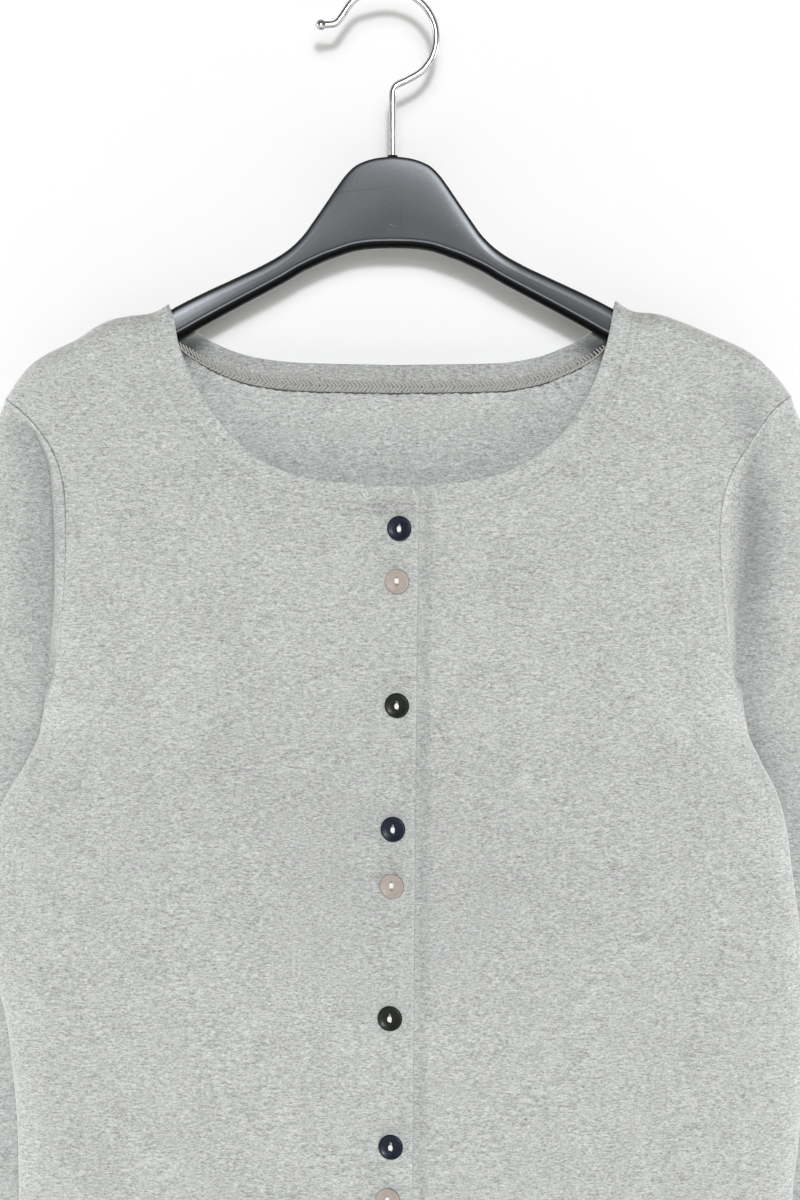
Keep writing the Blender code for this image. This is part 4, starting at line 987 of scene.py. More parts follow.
def build_cloth():
    """Both fronts, the back with its facing, and both sleeves, as fine shells on the part's own forms."""
    armhole, side_seam = slice(0, ARMHOLE_COUNT), slice(ARMHOLE_COUNT - 1, None)
    fronts = {side: front_panel(side) for side in SIGNS}
    back_plan, back, shoulder = back_panel(fronts)
    shoulders = {"right": slice(0, shoulder), "left": slice(-shoulder, None)}
    holes = [seam_layer(back_plan, back_plan[armhole, column]) for column in (0, -1)]
    calm = np.minimum.reduce([inside(back_plan, 0.03)] + [smooth(hole[..., 1] / 0.025) for hole in holes])
    lift = fold_heights(back_plan, BACK_FOLDS) + ripple(back, 0.09, 0.0004, 5)
    lift = lift * below_ridge(back_plan, 0.05) * calm
    back = back + normals_of(back, BACKWARDS) * lift[..., None]
    back_normals = normals_of(back, BACKWARDS)
    made = {}
    for side, (plan, points, walls) in fronts.items():
        column = 0 if side == "right" else -1
        neck_end = (len(NECK_ROWS) + 1) * FINE + 1
        neckline, hole = seam_layer(plan, plan[:neck_end, 0]), seam_layer(plan, plan[armhole, -1])
        calm = smooth(hole[..., 1] / 0.012) * below_ridge(plan, 0.02) * inside(plan, 0.02)
        lift = fold_heights(plan, FRONT_FOLDS) + ripple(points, 0.08, 0.0003, 3)
        points = points + normals_of(points, FORWARDS) * (lift * calm)[..., None]
        normals = normals_of(points, FORWARDS)
        ridge = shoulders[side]
        normals[0] = seam_normals(points[0], UPWARDS)
        back_normals[0, ridge] = seam_normals(back[0, ridge], UPWARDS)
        outwards = seam_normals(points[side_seam, -1], (SIGNS[side], 0.0, 0.0))
        normals[side_seam, -1] = outwards
        back_normals[side_seam, column] = outwards

        around = np.s_[ARMHOLE_COUNT - 2 : 0 : -1, column]
        ring = np.concatenate([points[armhole, -1], back[around]])
        torso = np.concatenate([normals[armhole, -1], back_normals[around]])
        made["sleeve_" + side], moved, seam_side = build_sleeve(side, ring, torso)
        points[armhole, -1] = moved[armhole]
        normals[armhole, -1] = seam_side[armhole]
        backwards = -np.arange(ARMHOLE_COUNT) % len(ring)
        back[armhole, column] = moved[backwards]
        back_normals[armhole, column] = seam_side[backwards]

        inner = points - normals * walls[..., None]
        for wall in (points, inner):
            wall[0, :, 1] -= SEAM_GAP / 2
            wall[side_seam, -1, 1] -= SEAM_GAP / 2
        # Painted shade on the front, and a painted highlight along the right front's buttoned edge.
        painted_shading = fold_heights(plan, FRONT_PAINTED_SHADE)
        if side == "right":
            painted_shading[neck_end:, 0] -= PAINTED_EDGE_HIGHLIGHT
        painted_shading = flat_layer(painted_shading, fold_heights(plan, FRONT_PUCKERS))
        layers = {"knit": knit_layer(plan), "neck": neckline, "armhole": hole, "painted_light": painted_shading}
        made["front_" + side] = wall_object("front_" + side, points, inner, FRONT_RIMS, layers)

    inner = back - back_normals * WALL
    for wall in (back, inner):
        for seam in (wall[:1, :shoulder], wall[:1, -shoulder:], wall[side_seam, :1], wall[side_seam, -1:]):
            seam[..., 1] += SEAM_GAP / 2
    knit, collar = knit_layer(back_plan), seam_layer(back_plan, back_plan[0, shoulder - 1 : -shoulder + 1])
    # Painted shadow of the hanger on the inner face of the back and the facing, at the neck's corners.
    painted_shading = flat_layer(fold_heights(back_plan, BACK_PAINTED_SHADOW))
    hole = np.where(holes[0][..., 1:] < holes[1][..., 1:], *holes)
    layers = {"knit": knit, "neck": collar, "armhole": hole, "painted_light": (np.zeros_like(painted_shading), painted_shading)}
    made["back"] = wall_object("back", back, inner, BACK_RIMS, layers)

    inset = shoulder - 1 + FACING_INSET * BACK_FINE
    strip = (slice(0, FACING_ROWS * FINE + 1), slice(inset, -inset))
    normals = back_normals[strip]
    outer = back[strip] - normals * (WALL + LAYER_GAP)
    inner = outer - normals * FACING_WALL
    run, away = lengths(back_plan[0, inset:-inset]), collar[strip][..., 1]
    # Painted shade in the band under the stitches.
    under = STITCH_SHADE * np.exp(-(((away - STITCH_MIDDLE) / STITCH_SHADE_REACH) ** 4))
    layers = {"knit": knit[strip], "painted_light": painted_shading[strip] + flat_layer(under)}
    made["back_neck_facing"] = wall_object("back_neck_facing", outer, inner, FACING_RIMS, layers)
    return made, (inner, normals, run, away)


def on_facing(strip, run, reach, lift):
    """Points over the facing's open side: this far along it, this far below the neck's edge and off it."""
    face, normals, runs, away = strip
    column = np.clip(np.interp(run, runs, np.arange(len(runs))), 0, len(runs) - 1.001)
    first = column.astype(int)
    points = np.zeros((len(run), 3))
    for step in (0, 1):
        for k, j in enumerate(first + step):
            row = min(np.interp(reach[k], away[:, j], np.arange(len(away))), len(away) - 1.001)
            i, part = int(row), row - int(row)
            share = column[k] - first[k] if step else 1 - column[k] + first[k]
            at = face[i, j] * (1 - part) + face[i + 1, j] * part - normals[i, j] * lift[k]
            points[k] += share * at
    return points


def build_stitches(strip, pale, painted_shade):
    """The facing's two rows of chain stitches, slanted against each other, over a painted-shadow strand on
    its edge.
    """
    rng = np.random.default_rng(8)
    run, away = strip[2], strip[3]
    t = np.linspace(0, 1, len(STITCH_ARCH))
    lines = []
    for start in np.arange(0.0012, run[-1] - 0.0032, STITCH_PITCH):
        sway = rng.uniform(-0.0002, 0.0002, 3)
        for top, place in zip(STITCH_ROWS, (t, 1 - t)):
            along_run = start + sway[0] + place * STITCH_REACH
            below = STITCH_MIDDLE + top + sway[1] + t * STITCH_REACH
            lines.append(on_facing(strip, along_run, below, STITCH_ARCH))
    finish_piece(tube("facing_stitches", lines, STITCH_RADIUS, 6), pale, "cardigan_jersey")
    # A near-black strand along the facing's lower edge: painted shadow where the edge stands off the back.
    at = np.linspace(0.0008, run[-1] - 0.0008, 240)
    wave = 0.00022 * np.sin(at * 2 * math.pi / 0.0041) + 0.00016 * np.sin(at * 2 * math.pi / 0.0173 + 1.0)
    edge = on_facing(strip, at, np.full(len(at), away.max()), np.full(len(at), -0.0004))
    edge[:, 2] -= 0.00035 + wave
    finish_piece(tube("facing_edge_shadow", [edge], 0.00030, 6), painted_shade, "cardigan_jersey")


def build_thread_ends(pale):
    """The loose ends, which stand off the cloth in a low bow."""
    at = np.linspace(0, 1, 18)
    lines = [surface(along(np.array(places) / 1000, at), "front") for places in THREAD_ENDS]
    for line in lines:
        line[:, 1] -= 0.00025 + 0.0009 * np.sin(at * math.pi)
    finish_piece(tube("neck_thread_ends", lines, 0.00020, 6), pale, "cardigan_jersey")


class Nodes:
    """A new material with its shader, and short ways to add nodes to it."""

    def __init__(self, name, **sockets):
        self.material = bpy.data.materials.new(name)
        self.material.use_nodes = True
        self.tree = self.material.node_tree
        self.shader = self.tree.nodes["Principled BSDF"]
        self.shade(**sockets)

    def fill(self, node, inputs):
        """The node with its inputs set, each to its value or to the signal that comes in."""
        for key, value in inputs.items():
            if isinstance(value, bpy.types.NodeSocket):
                self.tree.links.new(value, node.inputs[key])
            else:
                node.inputs[key].default_value = value
        return node

    def shade(self, **sockets):
        """The material, after its shader's sockets of these names are set."""
        self.fill(self.shader, {key.replace("_", " "): value for key, value in sockets.items()})
        return self.material

    def add(self, kind, inputs=None, **settings):
        node = self.tree.nodes.new("ShaderNode" + kind)
        for key, value in settings.items():
            setattr(node, key, value)
        return self.fill(node, inputs or {})

    def math(self, operation, a, b=0.0, clamp=False):
        return self.add("Math", {0: a, 1: b}, operation=operation, use_clamp=clamp).outputs[0]

    def plus(self, first, *others):
        for other in others:
            first = self.math("ADD", first, other)
        return first

    def times(self, first, *others, clamp=False):
        for other in others:
            first = self.math("MULTIPLY", first, other, clamp)
        return first

    def wave(self, distance, length):
        return self.math("SINE", self.times(distance, 2 * math.pi / length))

    def parts(self, vector):
        return self.add("SeparateXYZ", {0: vector}).outputs

    def layer(self, name):
        """The values of one of the mesh's layers of coordinates."""
        return self.parts(self.add("UVMap", uv_map=name).outputs[0])

    def tone(self, name):
        """The value that the mesh's points carry under this name."""
        return self.add("Attribute", attribute_name=name).outputs["Fac"]

    def place(self, scale=(1.0, 1.0, 1.0)):
        """Object coordinates, scaled on each axis."""
        at = self.add("TexCoord").outputs["Object"]
        return self.add("Mapping", {"Vector": at, "Scale": scale}).outputs[0]

    def noise(self, stretch, scale, detail, roughness):
        """Noise over the object's coordinates; stretch is their scale on each axis."""
        inputs = {"Vector": self.place(stretch), "Scale": scale, "Detail": detail, "Roughness": roughness}
        return self.add("TexNoise", inputs).outputs[0]

    def ranged(self, value, low, high, to_low, to_high):
        inputs = {0: value, 1: low, 2: high, 3: to_low, 4: to_high}
        return self.add("MapRange", inputs).outputs[0]

    def near(self, distance, at, reach):
        """1 on the line at this distance, falling to 0 within reach."""
        return self.ranged(self.math("ABSOLUTE", self.math("SUBTRACT", distance, at)), 0.0, reach, 1.0, 0.0)

    def colour(self, red, green, blue):
        return self.add("CombineColor", {0: red, 1: green, 2: blue}).outputs[0]

    def mixed(self, factor, a, b, blend="MIX"):
        a, b = ((*part, 1.0) if isinstance(part, tuple) else part for part in (a, b))
        return self.add("Mix", {0: factor, 6: a, 7: b}, data_type="RGBA", blend_type=blend).outputs[2]

    def toned(self, colour, tone):
        """The colour, multiplied by a tone."""
        return self.mixed(1.0, colour, self.colour(tone, tone, tone), "MULTIPLY")

    def bump(self, height, strength, distance):
        inputs = {"Height": height, "Strength": strength, "Distance": distance}
        return self.add("Bump", inputs).outputs[0]


def scaled(colour, share):
    return tuple(share * part for part in colour)


def jersey(name, colour, stitches=None, seamed=True, ribbed=0.0):
    """Heather jersey: short level streaks of lighter and darker fibres over fine knitted columns.

    Its layer of painted light darkens it with painted shade, or lightens it with a painted highlight where it
    is below 0; the layer's second channel carries puckers. ribbed makes its columns show."""
    nodes = Nodes(name, Roughness=0.94, Sheen_Weight=0.35, Sheen_Roughness=0.40, Specular_IOR_Level=0.2)
    streaks = nodes.noise((1.0, 1.0, 2.3), 820.0, 3.0, 0.62)
    flecks = nodes.noise((1.0, 1.0, 3.4), 330.0, 2.0, 0.55)
    clouds = nodes.noise((1.0, 1.0, 1.0), 55.0, 2.0, 0.5)
    total = nodes.plus(nodes.ranged(streaks, 0.25, 0.75, -0.45, 0.42), 1.0)
    total = nodes.plus(total, nodes.ranged(flecks, 0.25, 0.75, -0.27, 0.25))
    total = nodes.plus(total, nodes.ranged(clouds, 0.25, 0.75, -0.05, 0.05))
    colour = nodes.toned(colour, total)
    knit, painted_light = nodes.layer("knit"), nodes.layer("painted_light")
    wale, course = nodes.wave(knit[0], WALE), nodes.wave(knit[1], COURSE)
    if ribbed:
        colour = nodes.toned(colour, nodes.ranged(wale, -1.0, 1.0, 1 - ribbed, 1 + ribbed))
    # Painted shade where the layer of painted light is above 0, painted highlight where it is below.
    shade = nodes.times(painted_light[0], 0.34, clamp=True)
    light = nodes.times(painted_light[0], -0.25, clamp=True)
    if seamed:
        strength = (NECK_POINT_Z - 0.130, NECK_POINT_Z - 0.085, 0.06, 0.24)
        strength = nodes.ranged(nodes.parts(nodes.place())[2], *strength)
        seam = nodes.near(nodes.layer("armhole")[1], 0.0, 0.0008)
        shade = nodes.math("MAXIMUM", shade, nodes.times(seam, strength))
    colour = nodes.mixed(shade, colour, (0.05, 0.055, 0.06))
    colour = nodes.mixed(light, colour, (0.95, 0.95, 0.95))
    height = nodes.plus(nodes.times(wale, 0.22), nodes.times(course, 0.12))
    height = nodes.plus(height, streaks, nodes.times(flecks, 0.7))
    if stitches:
        shade, dent = stitches(nodes, nodes.layer("neck"), painted_light[1])
        colour = nodes.mixed(shade, colour, (0.20, 0.20, 0.20))
        height = nodes.math("SUBTRACT", height, dent)
    return nodes.shade(Base_Color=colour, Normal=nodes.bump(height, 0.35, 0.0004))


def hem_stitches(nodes, line, pucker):
    """Two rows of stitches that dimple the turned neckline, with painted shade in the dimples, deeper where
    it puckers.
    """
    holes = nodes.ranged(nodes.wave(line[0], HEM_STITCH), -0.2, 0.9, 0.35, 1.0)
    rows = nodes.plus(*[nodes.near(line[1], at, 0.0009) for at in HEM_ROWS])
    strength = nodes.plus(nodes.times(pucker, 1.3), 1.0)
    marks = nodes.times(nodes.times(rows, holes, clamp=True), strength)
    return nodes.times(marks, 0.34, clamp=True), nodes.times(marks, 2.4)


def plastic():
    """Black moulded plastic: scuffs and scratches, painted sheen on a satin face, painted shade on smoother
    rims.
    """
    nodes = Nodes("hanger_plastic")
    at = nodes.parts(nodes.place())
    clouds = nodes.noise((0.8, 1.0, 1.0), 70.0, 3.0, 0.55)
    grain = nodes.noise((1.0, 1.0, 1.0), 1100.0, 2.0, 0.6)
    specks = nodes.noise((1.0, 1.0, 1.4), 520.0, 3.0, 0.6)
    # The points' painted sheen, painted highlights and painted shade, sets the base tone.
    tone = nodes.times(nodes.tone("painted_sheen"), nodes.ranged(clouds, 0.3, 0.7, 0.90, 1.10))
    tone = nodes.times(tone, nodes.ranged(grain, 0.3, 0.7, 0.90, 1.10))
    tone = nodes.times(tone, nodes.ranged(specks, 0.66, 0.74, 1.0, 1.30))
    upright = nodes.times(nodes.near(at[0], 0.0042, 0.0004), nodes.ranged(at[2], -0.111, -0.108, 0.0, 1.0))
    upright = nodes.times(upright, nodes.ranged(at[2], -0.100, -0.097, 1.0, 0.0))
    slanted = nodes.near(nodes.math("SUBTRACT", at[2], nodes.times(at[0], 0.122)), -0.0898, 0.0004)
    slanted = nodes.times(slanted, nodes.ranged(at[0], -0.0265, -0.024, 0.0, 1.0))
    slanted = nodes.times(slanted, nodes.ranged(at[0], -0.004, 0.002, 1.0, 0.0))
    scratches = nodes.times(nodes.math("MAXIMUM", upright, slanted), 0.30)
    tone = nodes.times(tone, nodes.math("SUBTRACT", 1.0, scratches))
    return nodes.shade(
        Base_Color=nodes.colour(nodes.times(tone, 0.94), tone, nodes.times(tone, 1.09)),
        Specular_IOR_Level=nodes.ranged(tone, 0.0, 0.04, 0.02, 0.25),
        Roughness=nodes.ranged(clouds, 0.3, 0.7, 0.50, 0.60),
        Normal=nodes.bump(grain, 0.12, 0.0001),
    )


def chrome():
    """Polished wire, slightly hazed, with painted shade where it turns away and on its side towards -x."""
    nodes = Nodes("hook_chrome", Metallic=1.0)
    facing = nodes.add("LayerWeight", {"Blend": 0.32}).outputs["Facing"]
    normal = nodes.parts(nodes.add("NewGeometry").outputs["Normal"])
    # Painted shade: darker on the wire's side facing -x and towards its outline.
    painted_shade = nodes.ranged(normal[0], -0.85, -0.25, 0.8, 0.0)
    painted_shade = nodes.math("MAXIMUM", painted_shade, nodes.ranged(facing, 0.10, 0.55, 0.0, 1.0))
    rubbed = nodes.noise((1.0, 1.0, 1.0), 900.0, 3.0, 0.6)
    return nodes.shade(
        Base_Color=nodes.mixed(painted_shade, (0.74, 0.735, 0.725), (0.30, 0.30, 0.31)),
        Roughness=nodes.ranged(rubbed, 0.3, 0.7, 0.14, 0.26),
        Normal=nodes.bump(rubbed, 0.05, 0.0001),
    )


def button_plastic(name, colour, other):
    """Glossy button plastic with a faint cloud of a second tone, and painted shade on its low rim."""
    nodes = Nodes(name, Coat_Weight=0.03, Coat_Roughness=0.10, Specular_IOR_Level=0.18)
    clouds = nodes.noise((1.0, 1.0, 1.0), 420.0, 3.0, 0.55)
    scratches = nodes.noise((1.0, 1.0, 4.0), 1500.0, 2.0, 0.5)
    tone = nodes.mixed(nodes.ranged(clouds, 0.35, 0.7, 0.0, 1.0), colour, other)
    # Painted shade on the low rim's points, where a shadow falls between button and cloth.
    tone = nodes.mixed(nodes.tone("edge"), tone, scaled(colour, 0.08))
    return nodes.shade(Base_Color=tone, Roughness=nodes.ranged(scratches, 0.3, 0.7, 0.32, 0.42))


def thread(name, colour):
    """Spun sewing thread."""
    nodes = Nodes(name, Roughness=0.75, Sheen_Weight=0.3)
    twist = nodes.noise((1.0, 1.0, 1.6), 3200.0, 2.0, 0.6)
    tone = nodes.mixed(nodes.ranged(twist, 0.3, 0.7, 0.0, 1.0), scaled(colour, 0.72), colour)
    return nodes.shade(Base_Color=tone, Normal=nodes.bump(twist, 0.4, 0.0001))


def finish_piece(piece, material, slot, *nodes):
    piece.data.materials.append(material)
    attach(piece, "root")
    if nodes:
        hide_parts(*nodes)


def tube(name, lines, radius, sides=8):
    """One mesh of round tubes along the lines, with rounded ends; the radius may change along a line."""
    points, faces, count = [], [], 0
    turn = np.arange(sides)[:, None] * 2 * math.pi / sides
    for line in lines:
        line = np.asarray(line, float)
        tangent = unit(np.gradient(line, axis=0))
        side = np.zeros_like(line)
        side[0] = unit(np.cross(tangent[0], (0.13, 0.97, 0.21)))
        for k in range(1, len(line)):
            side[k] = unit(side[k - 1] - tangent[k] * np.dot(side[k - 1], tangent[k]))
        circle = np.cos(turn) * side[:, None] + np.sin(turn) * np.cross(tangent, side)[:, None]
        reach = np.broadcast_to(radius, len(line))
        rings = list(line[:, None] + reach[:, None, None] * circle)
        ends = []
        for k, sign in ((0, -1), (-1, 1)):
            centre = line[k] + sign * tangent[k] * reach[k] * 0.42
            ends.append(centre + (rings[k] - line[k]) * 0.62)
        rings = np.array([ends[0], *rings, ends[1]])
        place = count + np.arange(len(rings) * sides).reshape(len(rings), sides)
        points.append(rings.reshape(-1, 3))
        faces.append(quads(wrapped(place)))
        count += place.size
        for fan in (place[0], place[-1]):
            faces += [fan[None, [0, a, a + 1, a + 2]] for a in range(1, sides - 2, 2)]
    return mesh_object(name, np.concatenate(points), np.concatenate(faces))


def button_data():
    """A moulded disc with a rounded rim, a dished face and two holes, its face towards +Z."""
    mesh = bmesh.new()
    rings = []
    for reach, height in BUTTON_FACE.rows[1:]:
        ring = []
        for k in range(BUTTON_SIDES):
            angle = 2 * math.pi * k / BUTTON_SIDES
            x, y = BUTTON_RADIUS * reach * math.cos(angle), BUTTON_RADIUS * reach * math.sin(angle)
            ring.append(mesh.verts.new((x, y, BUTTON_THICKNESS * height)))
        rings.append(ring)
    for upper, lower in zip(rings, rings[1:]):
        for k in range(BUTTON_SIDES):
            n = (k + 1) % BUTTON_SIDES
            mesh.faces.new((lower[k], lower[n], upper[n], upper[k]))
    mesh.faces.new(rings[0])
    mesh.faces.new(rings[-1][::-1])
    data = bpy.data.meshes.new("button_face")
    mesh.to_mesh(data)
    mesh.free()
    disc = linked("button_blank", data)
    cutters = []
    for sign in (-1, 1):
        hole = bmesh.new()
        radii = {"radius1": BUTTON_HOLE_RADIUS, "radius2": BUTTON_HOLE_RADIUS}
        bmesh.ops.create_cone(hole, cap_ends=True, segments=20, depth=4 * BUTTON_THICKNESS, **radii)
        hole_data = bpy.data.meshes.new("button_hole")
        hole.to_mesh(hole_data)
        hole.free()
        cutter = linked("button_hole", hole_data)
        cutter.location = (0.0, sign * BUTTON_HOLE_SPACING / 2, 0.0)
        cutters.append(cutter)
        cut = disc.modifiers.new("button_hole", "BOOLEAN")
        cut.operation = "DIFFERENCE"
        cut.solver = "EXACT"
        cut.object = cutter
    bpy.context.view_layer.update()
    graph = bpy.context.evaluated_depsgraph_get()
    cut_data = bpy.data.meshes.new_from_object(disc.evaluated_get(graph))
    cut_data.name = "button_face"
    for obj in (disc, *cutters):
        bpy.data.objects.remove(obj)
    cut_data.shade_smooth()
    cut_data.set_sharp_from_angle(angle=math.radians(38))
    places = np.zeros(3 * len(cut_data.vertices), np.float32)
    cut_data.vertices.foreach_get("co", places)
    x, y, z = places.reshape(-1, 3).T
    # The low rim's points get painted shade.
    painted_shade_rim = (np.hypot(x, y) > 0.8 * BUTTON_RADIUS) & (z < 0.7 * BUTTON_THICKNESS)
    mark(cut_data, "edge", painted_shade_rim)
    return cut_data


def button_threads(shift):
    """The thread between a button's holes, as strands that spread into an oval, in the button's own frame."""
    lines = []
    t = np.linspace(-1, 1, 15)
    for spread in (-1.0, -0.5, 0.0, 0.5, 1.0):
        x = spread * 0.00078 * np.sqrt(np.clip(1 - (t * 0.92) ** 2, 0, 1))
        y = shift + t * 0.00128
        z = BUTTON_THICKNESS * 0.72 + 0.00058 * (1 - t**2) ** 0.5 - 0.00020 * spread**2 - 0.00005
        z = z - 0.0011 * np.clip(np.abs(t) - 0.86, 0, 1) / 0.14
        lines.append(stack(x, y, z))
    return lines


def build_buttons(white):
    """The fastened buttons with the thread in their holes."""
    disc = button_data()
    looks = {
        "button_navy": button_plastic("button_navy", (0.006, 0.009, 0.018), (0.012, 0.017, 0.030)),
        "button_beige": button_plastic("button_beige", (0.32, 0.28, 0.245), (0.37, 0.325, 0.29)),
        "button_olive": button_plastic("button_olive", (0.008, 0.010, 0.007), (0.015, 0.017, 0.012)),
    }
    face = Matrix.Rotation(math.pi / 2, 4, "X")
    for row, (drop, x, colour, lean_right, lean_top) in enumerate(BUTTONS.rows, start=1):
        slot = BUTTON_SLOTS[int(colour)]
        node = f"button_{row:02d}"
        button = linked(node + "_face", disc.copy())
        turn = Matrix.Rotation(math.radians(-lean_right), 4, "Z")
        nod = Matrix.Rotation(math.radians(lean_top), 4, "X")
        lift = BUTTON_RADIUS * math.sin(math.radians(math.hypot(lean_right, lean_top))) + SEAM_GAP
        place = surface(np.array((x, drop)), "front") - np.array((0.0, lift, 0.0))
        at = Matrix.Translation(Vector(place)) @ turn @ nod @ face
        button.data.transform(at)
        finish_piece(button, looks[slot], slot, node)
        strands = button_threads(0.00035 if slot == "button_beige" else -0.00030)
        lines = [[at @ Vector(p) for p in line] for line in strands]
        finish_piece(tube(node + "_thread", lines, 0.00024), white, slot)


def hanger_top(x):
    """The hanger's top edge, kept just under the cloth that hangs on it."""
    table = HANGER.read("top", x)
    cloth = np.minimum(-RIDGE_RIGHT.read("drop", x), -RIDGE_LEFT.read("drop", x)) - WALL - HANGER_CLEARANCE
    return np.where(x > RIDGE_RIGHT.rows[0, 0], np.minimum(table, cloth), table)


def sheen(x, rise):
    """The face's painted sheen at these places: painted highlight and shade."""
    columns = np.array([HANGER_SHEEN.read(name, rise) for name in HANGER_SHEEN.columns[1:]])
    at = np.clip(np.interp(x, SHEEN_PLACES, np.arange(len(SHEEN_PLACES))), 0, len(SHEEN_PLACES) - 1.001)
    first, part = at.astype(int), at - at.astype(int)
    rows = np.arange(len(x))
    return columns[first, rows] * (1 - part) + columns[first + 1, rows] * part


def mark(data, name, values):
    """Gives each of the mesh's points a value of this name."""
    values = np.broadcast_to(values, len(data.vertices)).astype(np.float32)
    data.attributes.new(name, "FLOAT", "POINT").data.foreach_set("value", values)


def finish_hanger(piece, tone, material, *nodes):
    mark(piece.data, "painted_sheen", tone)
    finish_piece(piece, material, "hanger_plastic", *nodes)


def build_hanger():
    """The moulded body: rounded rims round a satin face on both sides, with its edge closed between them."""
    reach = float(HANGER.rows[-1, 0])
    s = np.linspace(-1, 1, HANGER_COLUMNS)
    x = reach * np.sin(s * math.pi / 2) * 0.35 + reach * s * 0.65
    top = stack(x, NECK_POINT_Z + hanger_top(np.abs(x)))
    low = stack(x, NECK_POINT_Z + HANGER.read("bottom", np.abs(x)))
    snug = np.clip((top[:, 1] - low[:, 1]) / HANGER_LEAST, 0, 1)[:, None]
    spread = snug * (1 + ARM_RIM * smooth((np.abs(x) - ARM_START) / ARM_START))[:, None]

    def skin(line, inwards, share, edge, sign):
        """The rows from the outline inwards, with their tones and how much of each is face."""
        tangent = unit(np.gradient(line, axis=0))
        inward = inwards * stack(tangent[:, 1], -tangent[:, 0])
        names = ("in_", "deep_", "tone_", "face_")
        far, deep, tones, face = (HANGER_SKIN.column(name + edge) for name in names)
        moved = line + inward * far[:, None, None] * share
        depths = np.broadcast_to(sign * deep[:, None], moved.shape[:2])
        return list(stack(moved[..., 0], depths, moved[..., 1])), list(tones), list(face)

    sheets, shines = [], []
    for sign in (-1.0, 1.0):
        rows, tones, face = skin(top, 1.0, spread, "top", sign)
        lines, low_tones, low_face = skin(low, -1.0, snug, "low", sign)
        start, end = rows[-1], lines[-1]
        for k in range(1, HANGER_FILL):
            t = k / HANGER_FILL
            bulge = np.array((0.0, sign * 0.0002 * math.sin(math.pi * t), 0.0))
            rows.append(start * (1 - t) + end * t + bulge)
        tones = np.array(tones + [FACE_TONE] * (HANGER_FILL - 1) + low_tones[::-1])[:, None]
        share = np.array(face + [1.0] * (HANGER_FILL - 1) + low_face[::-1])[:, None]
        rows = np.array(rows + lines[::-1])
        fall = lengths(rows)
        upper, lower = FACE_TOP_ROW, len(rows) - len(lines)
        rise = np.clip(1 - (fall - fall[upper]) / (fall[lower] - fall[upper]), 0, 1)
        sheets.append(rows)
        shines.append(tones * (1 - share) + np.array([sheen(x, row) for row in rise]) * share)
    grid, painted_sheen = (np.concatenate([first, second[::-1][1:-1]]) for first, second in (sheets, shines))
    place = np.arange(painted_sheen.size).reshape(painted_sheen.shape)
    body = mesh_object("hanger_moulding", grid.reshape(-1, 3), quads(np.concatenate([place, place[:1]])))
    turn_out(body.data, filled=True)
    black = plastic()
    finish_hanger(body, painted_sheen.ravel(), black, "hanger_body")

    crown = NECK_POINT_Z + HANGER.rows[0, 1]
    angle = np.linspace(0, 2 * math.pi, 40)
    ring = WIRE_RADIUS + 0.0003
    collar = stack(ring * np.cos(angle), ring * np.sin(angle), np.full(40, crown + 0.0001))
    finish_hanger(tube("hanger_collar", [collar], 0.0005), 0.006, black)
    at = np.linspace(0, 1, 12)
    face_y = -float(HANGER_SKIN.rows[-1, 2])
    curl = stack(-0.0014 + 0.0030 * at, np.full(12, face_y - 0.0002), -0.1080 + 0.0006 * np.sin(at * 7.0))
    finish_hanger(tube("hanger_mark", [curl], 0.00022, 6), 0.16, black)


def build_hook():
    """The bent wire from the hanger to the ball at its tip."""
    centre = np.array((HOOK_OFFSET, WIRE_RADIUS - HOOK_RADIUS))
    foot = NECK_POINT_Z + HANGER.rows[0, 1] - STEM_HOLE_DEPTH + SEAM_GAP
    stem = [(0.0, foot), (0.0, (foot + centre[1] + HOOK_LEAD.rows[0, 1]) / 2)]
    angle = np.radians(np.linspace(HOOK_ARC_START, HOOK_ARC_END, 24))
    bow = centre + HOOK_RADIUS * stack(np.cos(angle), np.sin(angle))
    route = np.concatenate([stem, HOOK_LEAD.rows + centre, bow, HOOK_TAIL.rows[:, :2] + centre])
    swell = np.ones(len(route))
    swell[-len(HOOK_TAIL.rows) :] = HOOK_TAIL.rows[:, 2]
    run = lengths(route)
    at = np.linspace(0, run[-1], 420)
    line = stack(monotone(run, route[:, 0], at), np.zeros(len(at)), monotone(run, route[:, 1], at))
    spread = np.hanning(9) / np.hanning(9).sum()
    for axis in (0, 2):
        line[4:-4, axis] = np.convolve(line[:, axis], spread, "valid")
    wire = tube("hook_wire", [line], WIRE_RADIUS * monotone(run, swell, at), 20)
    finish_piece(wire, chrome(), "hook_chrome", "hanger_hook")


def stage_plane(name, corners, material):
    data = bpy.data.meshes.new(name)
    data.from_pydata(corners, [], [(0, 1, 2, 3)])
    data.materials.append(material)
    linked(name, data)


def lamp(name, place, target, size, power, colour=(1.0, 1.0, 1.0)):
    """A round lamp that looks at its target."""
    light = bpy.data.lights.new(name, "AREA")
    light.shape = "DISK"
    light.size = size
    light.energy = power
    light.color = colour
    obj = linked(name, light)
    obj.location = place
    obj.rotation_euler = (Vector(target) - Vector(place)).to_track_quat("-Z", "Y").to_euler()


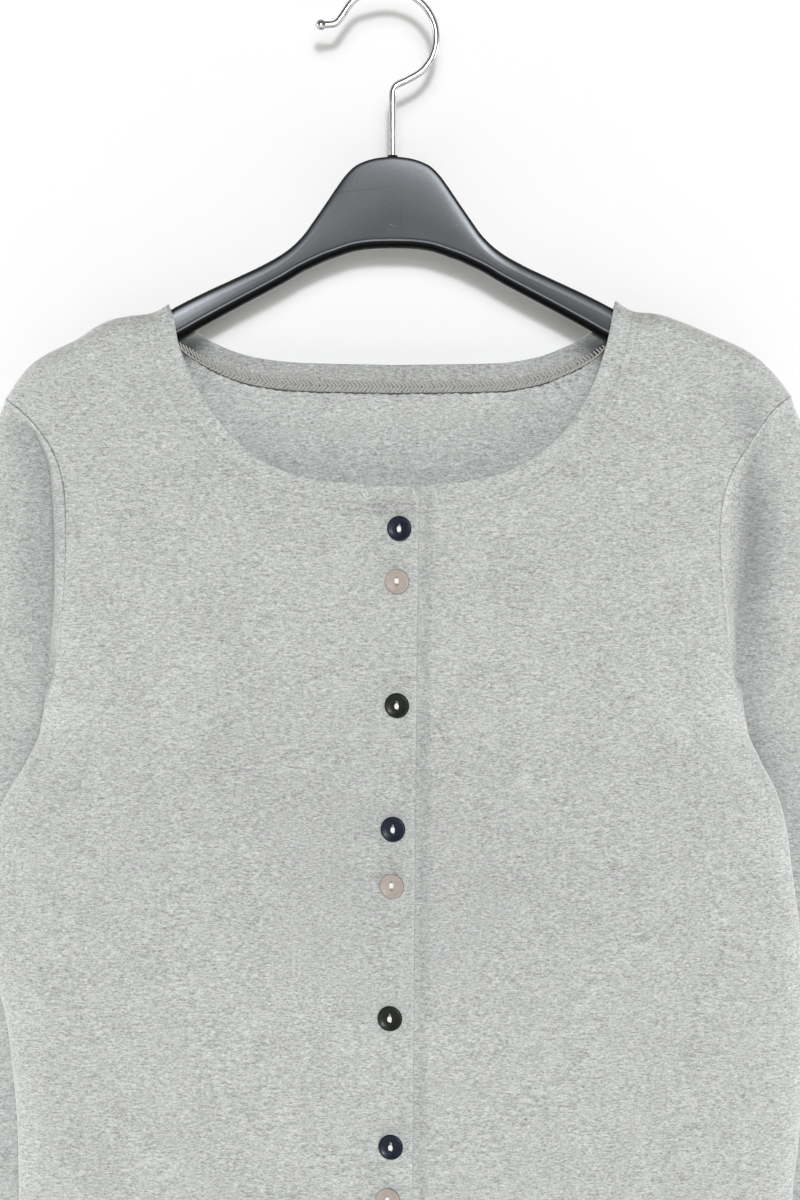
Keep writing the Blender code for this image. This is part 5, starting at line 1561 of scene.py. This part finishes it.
def build_stage():
    """A white wall seen from the front alone, a pale floor, soft light and the camera."""
    nodes = Nodes("wall_paint", Base_Color=WALL_COLOUR, Roughness=0.95, Specular_IOR_Level=0.0)
    clear = nodes.add("BsdfTransparent").outputs[0]
    behind = nodes.add("NewGeometry").outputs["Backfacing"]
    shadow = nodes.add("LightPath").outputs["Is Shadow Ray"]
    hidden = nodes.math("MAXIMUM", behind, shadow)
    mix = nodes.add("MixShader", {0: hidden, 1: nodes.shader.outputs[0], 2: clear}).outputs[0]
    nodes.fill(nodes.tree.nodes["Material Output"], {"Surface": mix})
    across, low, high = WALL_REACH, WALL_LOW, WALL_HIGH
    corners = [(-across, low), (across, low), (across, high), (-across, high)]
    stage_plane("white_wall", [(x, WALL_PLANE, z) for x, z in corners], nodes.material)
    floor = Nodes("pale_floor", Base_Color=FLOOR_COLOUR, Roughness=0.9).material
    reach = FLOOR_REACH
    corners = [(-reach, -reach), (reach, -reach), (reach, reach), (-reach, reach)]
    stage_plane("pale_floor", [(x, y, FLOOR_Z) for x, y in corners], floor)

    world = bpy.data.worlds.new("studio")
    world.use_nodes = True
    world.node_tree.nodes["Background"].inputs[0].default_value = (1.0, 0.95, 0.80, 1.0)
    world.node_tree.nodes["Background"].inputs[1].default_value = 0.16
    bpy.context.scene.world = world

    tint = (0.99, 0.995, 1.018)
    lamp("key_light", (0.13, -5.0, 0.18), (0.0, 0.0, -0.28), 0.25, 123.0, tint)
    lamp("soft_light", (0.13, -5.0, 0.18), (0.0, 0.0, -0.28), 1.2, 104.0, tint)
    lamp("back_light", (0.4, 2.5, 0.3), (0.0, 0.0, -0.35), 1.2, 22.0)
    for side, sign in SIGNS.items():
        lamp(side + "_light", (sign * 2.5, 0.31, -0.25), (0.0, 0.0, -0.35), 0.9, 42.0)

    data = bpy.data.cameras.new("camera")
    data.lens = CAMERA_LENS
    data.sensor_width = 36.0
    camera = linked("camera", data)
    camera.location = CAMERA
    camera.rotation_euler = (math.radians(90 + CAMERA_TILT), 0.0, 0.0)
    bpy.context.scene.camera = camera
    bpy.context.scene.view_settings.view_transform = "Standard"


cloth, facing_strip = build_cloth()
looks = {
    "front": jersey("cardigan_jersey_front", GREY, hem_stitches),
    # The back is made lighter: painted light for its inside, seen in less light through the neck.
    "back": jersey("cardigan_jersey_back", scaled(GREY, 1.05), hem_stitches),
    "sleeve": jersey("cardigan_jersey_sleeve", GREY),
    # The facing is made darker: painted shade on the turned-in tape.
    "facing": jersey("cardigan_jersey_facing", scaled(GREY, 0.84), seamed=False, ribbed=0.10),
}
for name, piece in cloth.items():
    piece.name = name + "_cloth"
    look = "facing" if name.endswith("facing") else name.split("_")[0]
    finish_piece(piece, looks[look], "cardigan_jersey", name)
white_thread = thread("button_thread", (0.82, 0.82, 0.80))
seam_thread = thread("seam_thread", (0.50, 0.49, 0.45))
# A near-black strand as painted shadow under the facing's edge.
edge_shadow_paint = thread("edge_shadow_paint", (0.055, 0.055, 0.05))
build_stitches(facing_strip, seam_thread, edge_shadow_paint)
build_thread_ends(white_thread)
build_buttons(white_thread)
build_hanger()
build_hook()
build_stage()
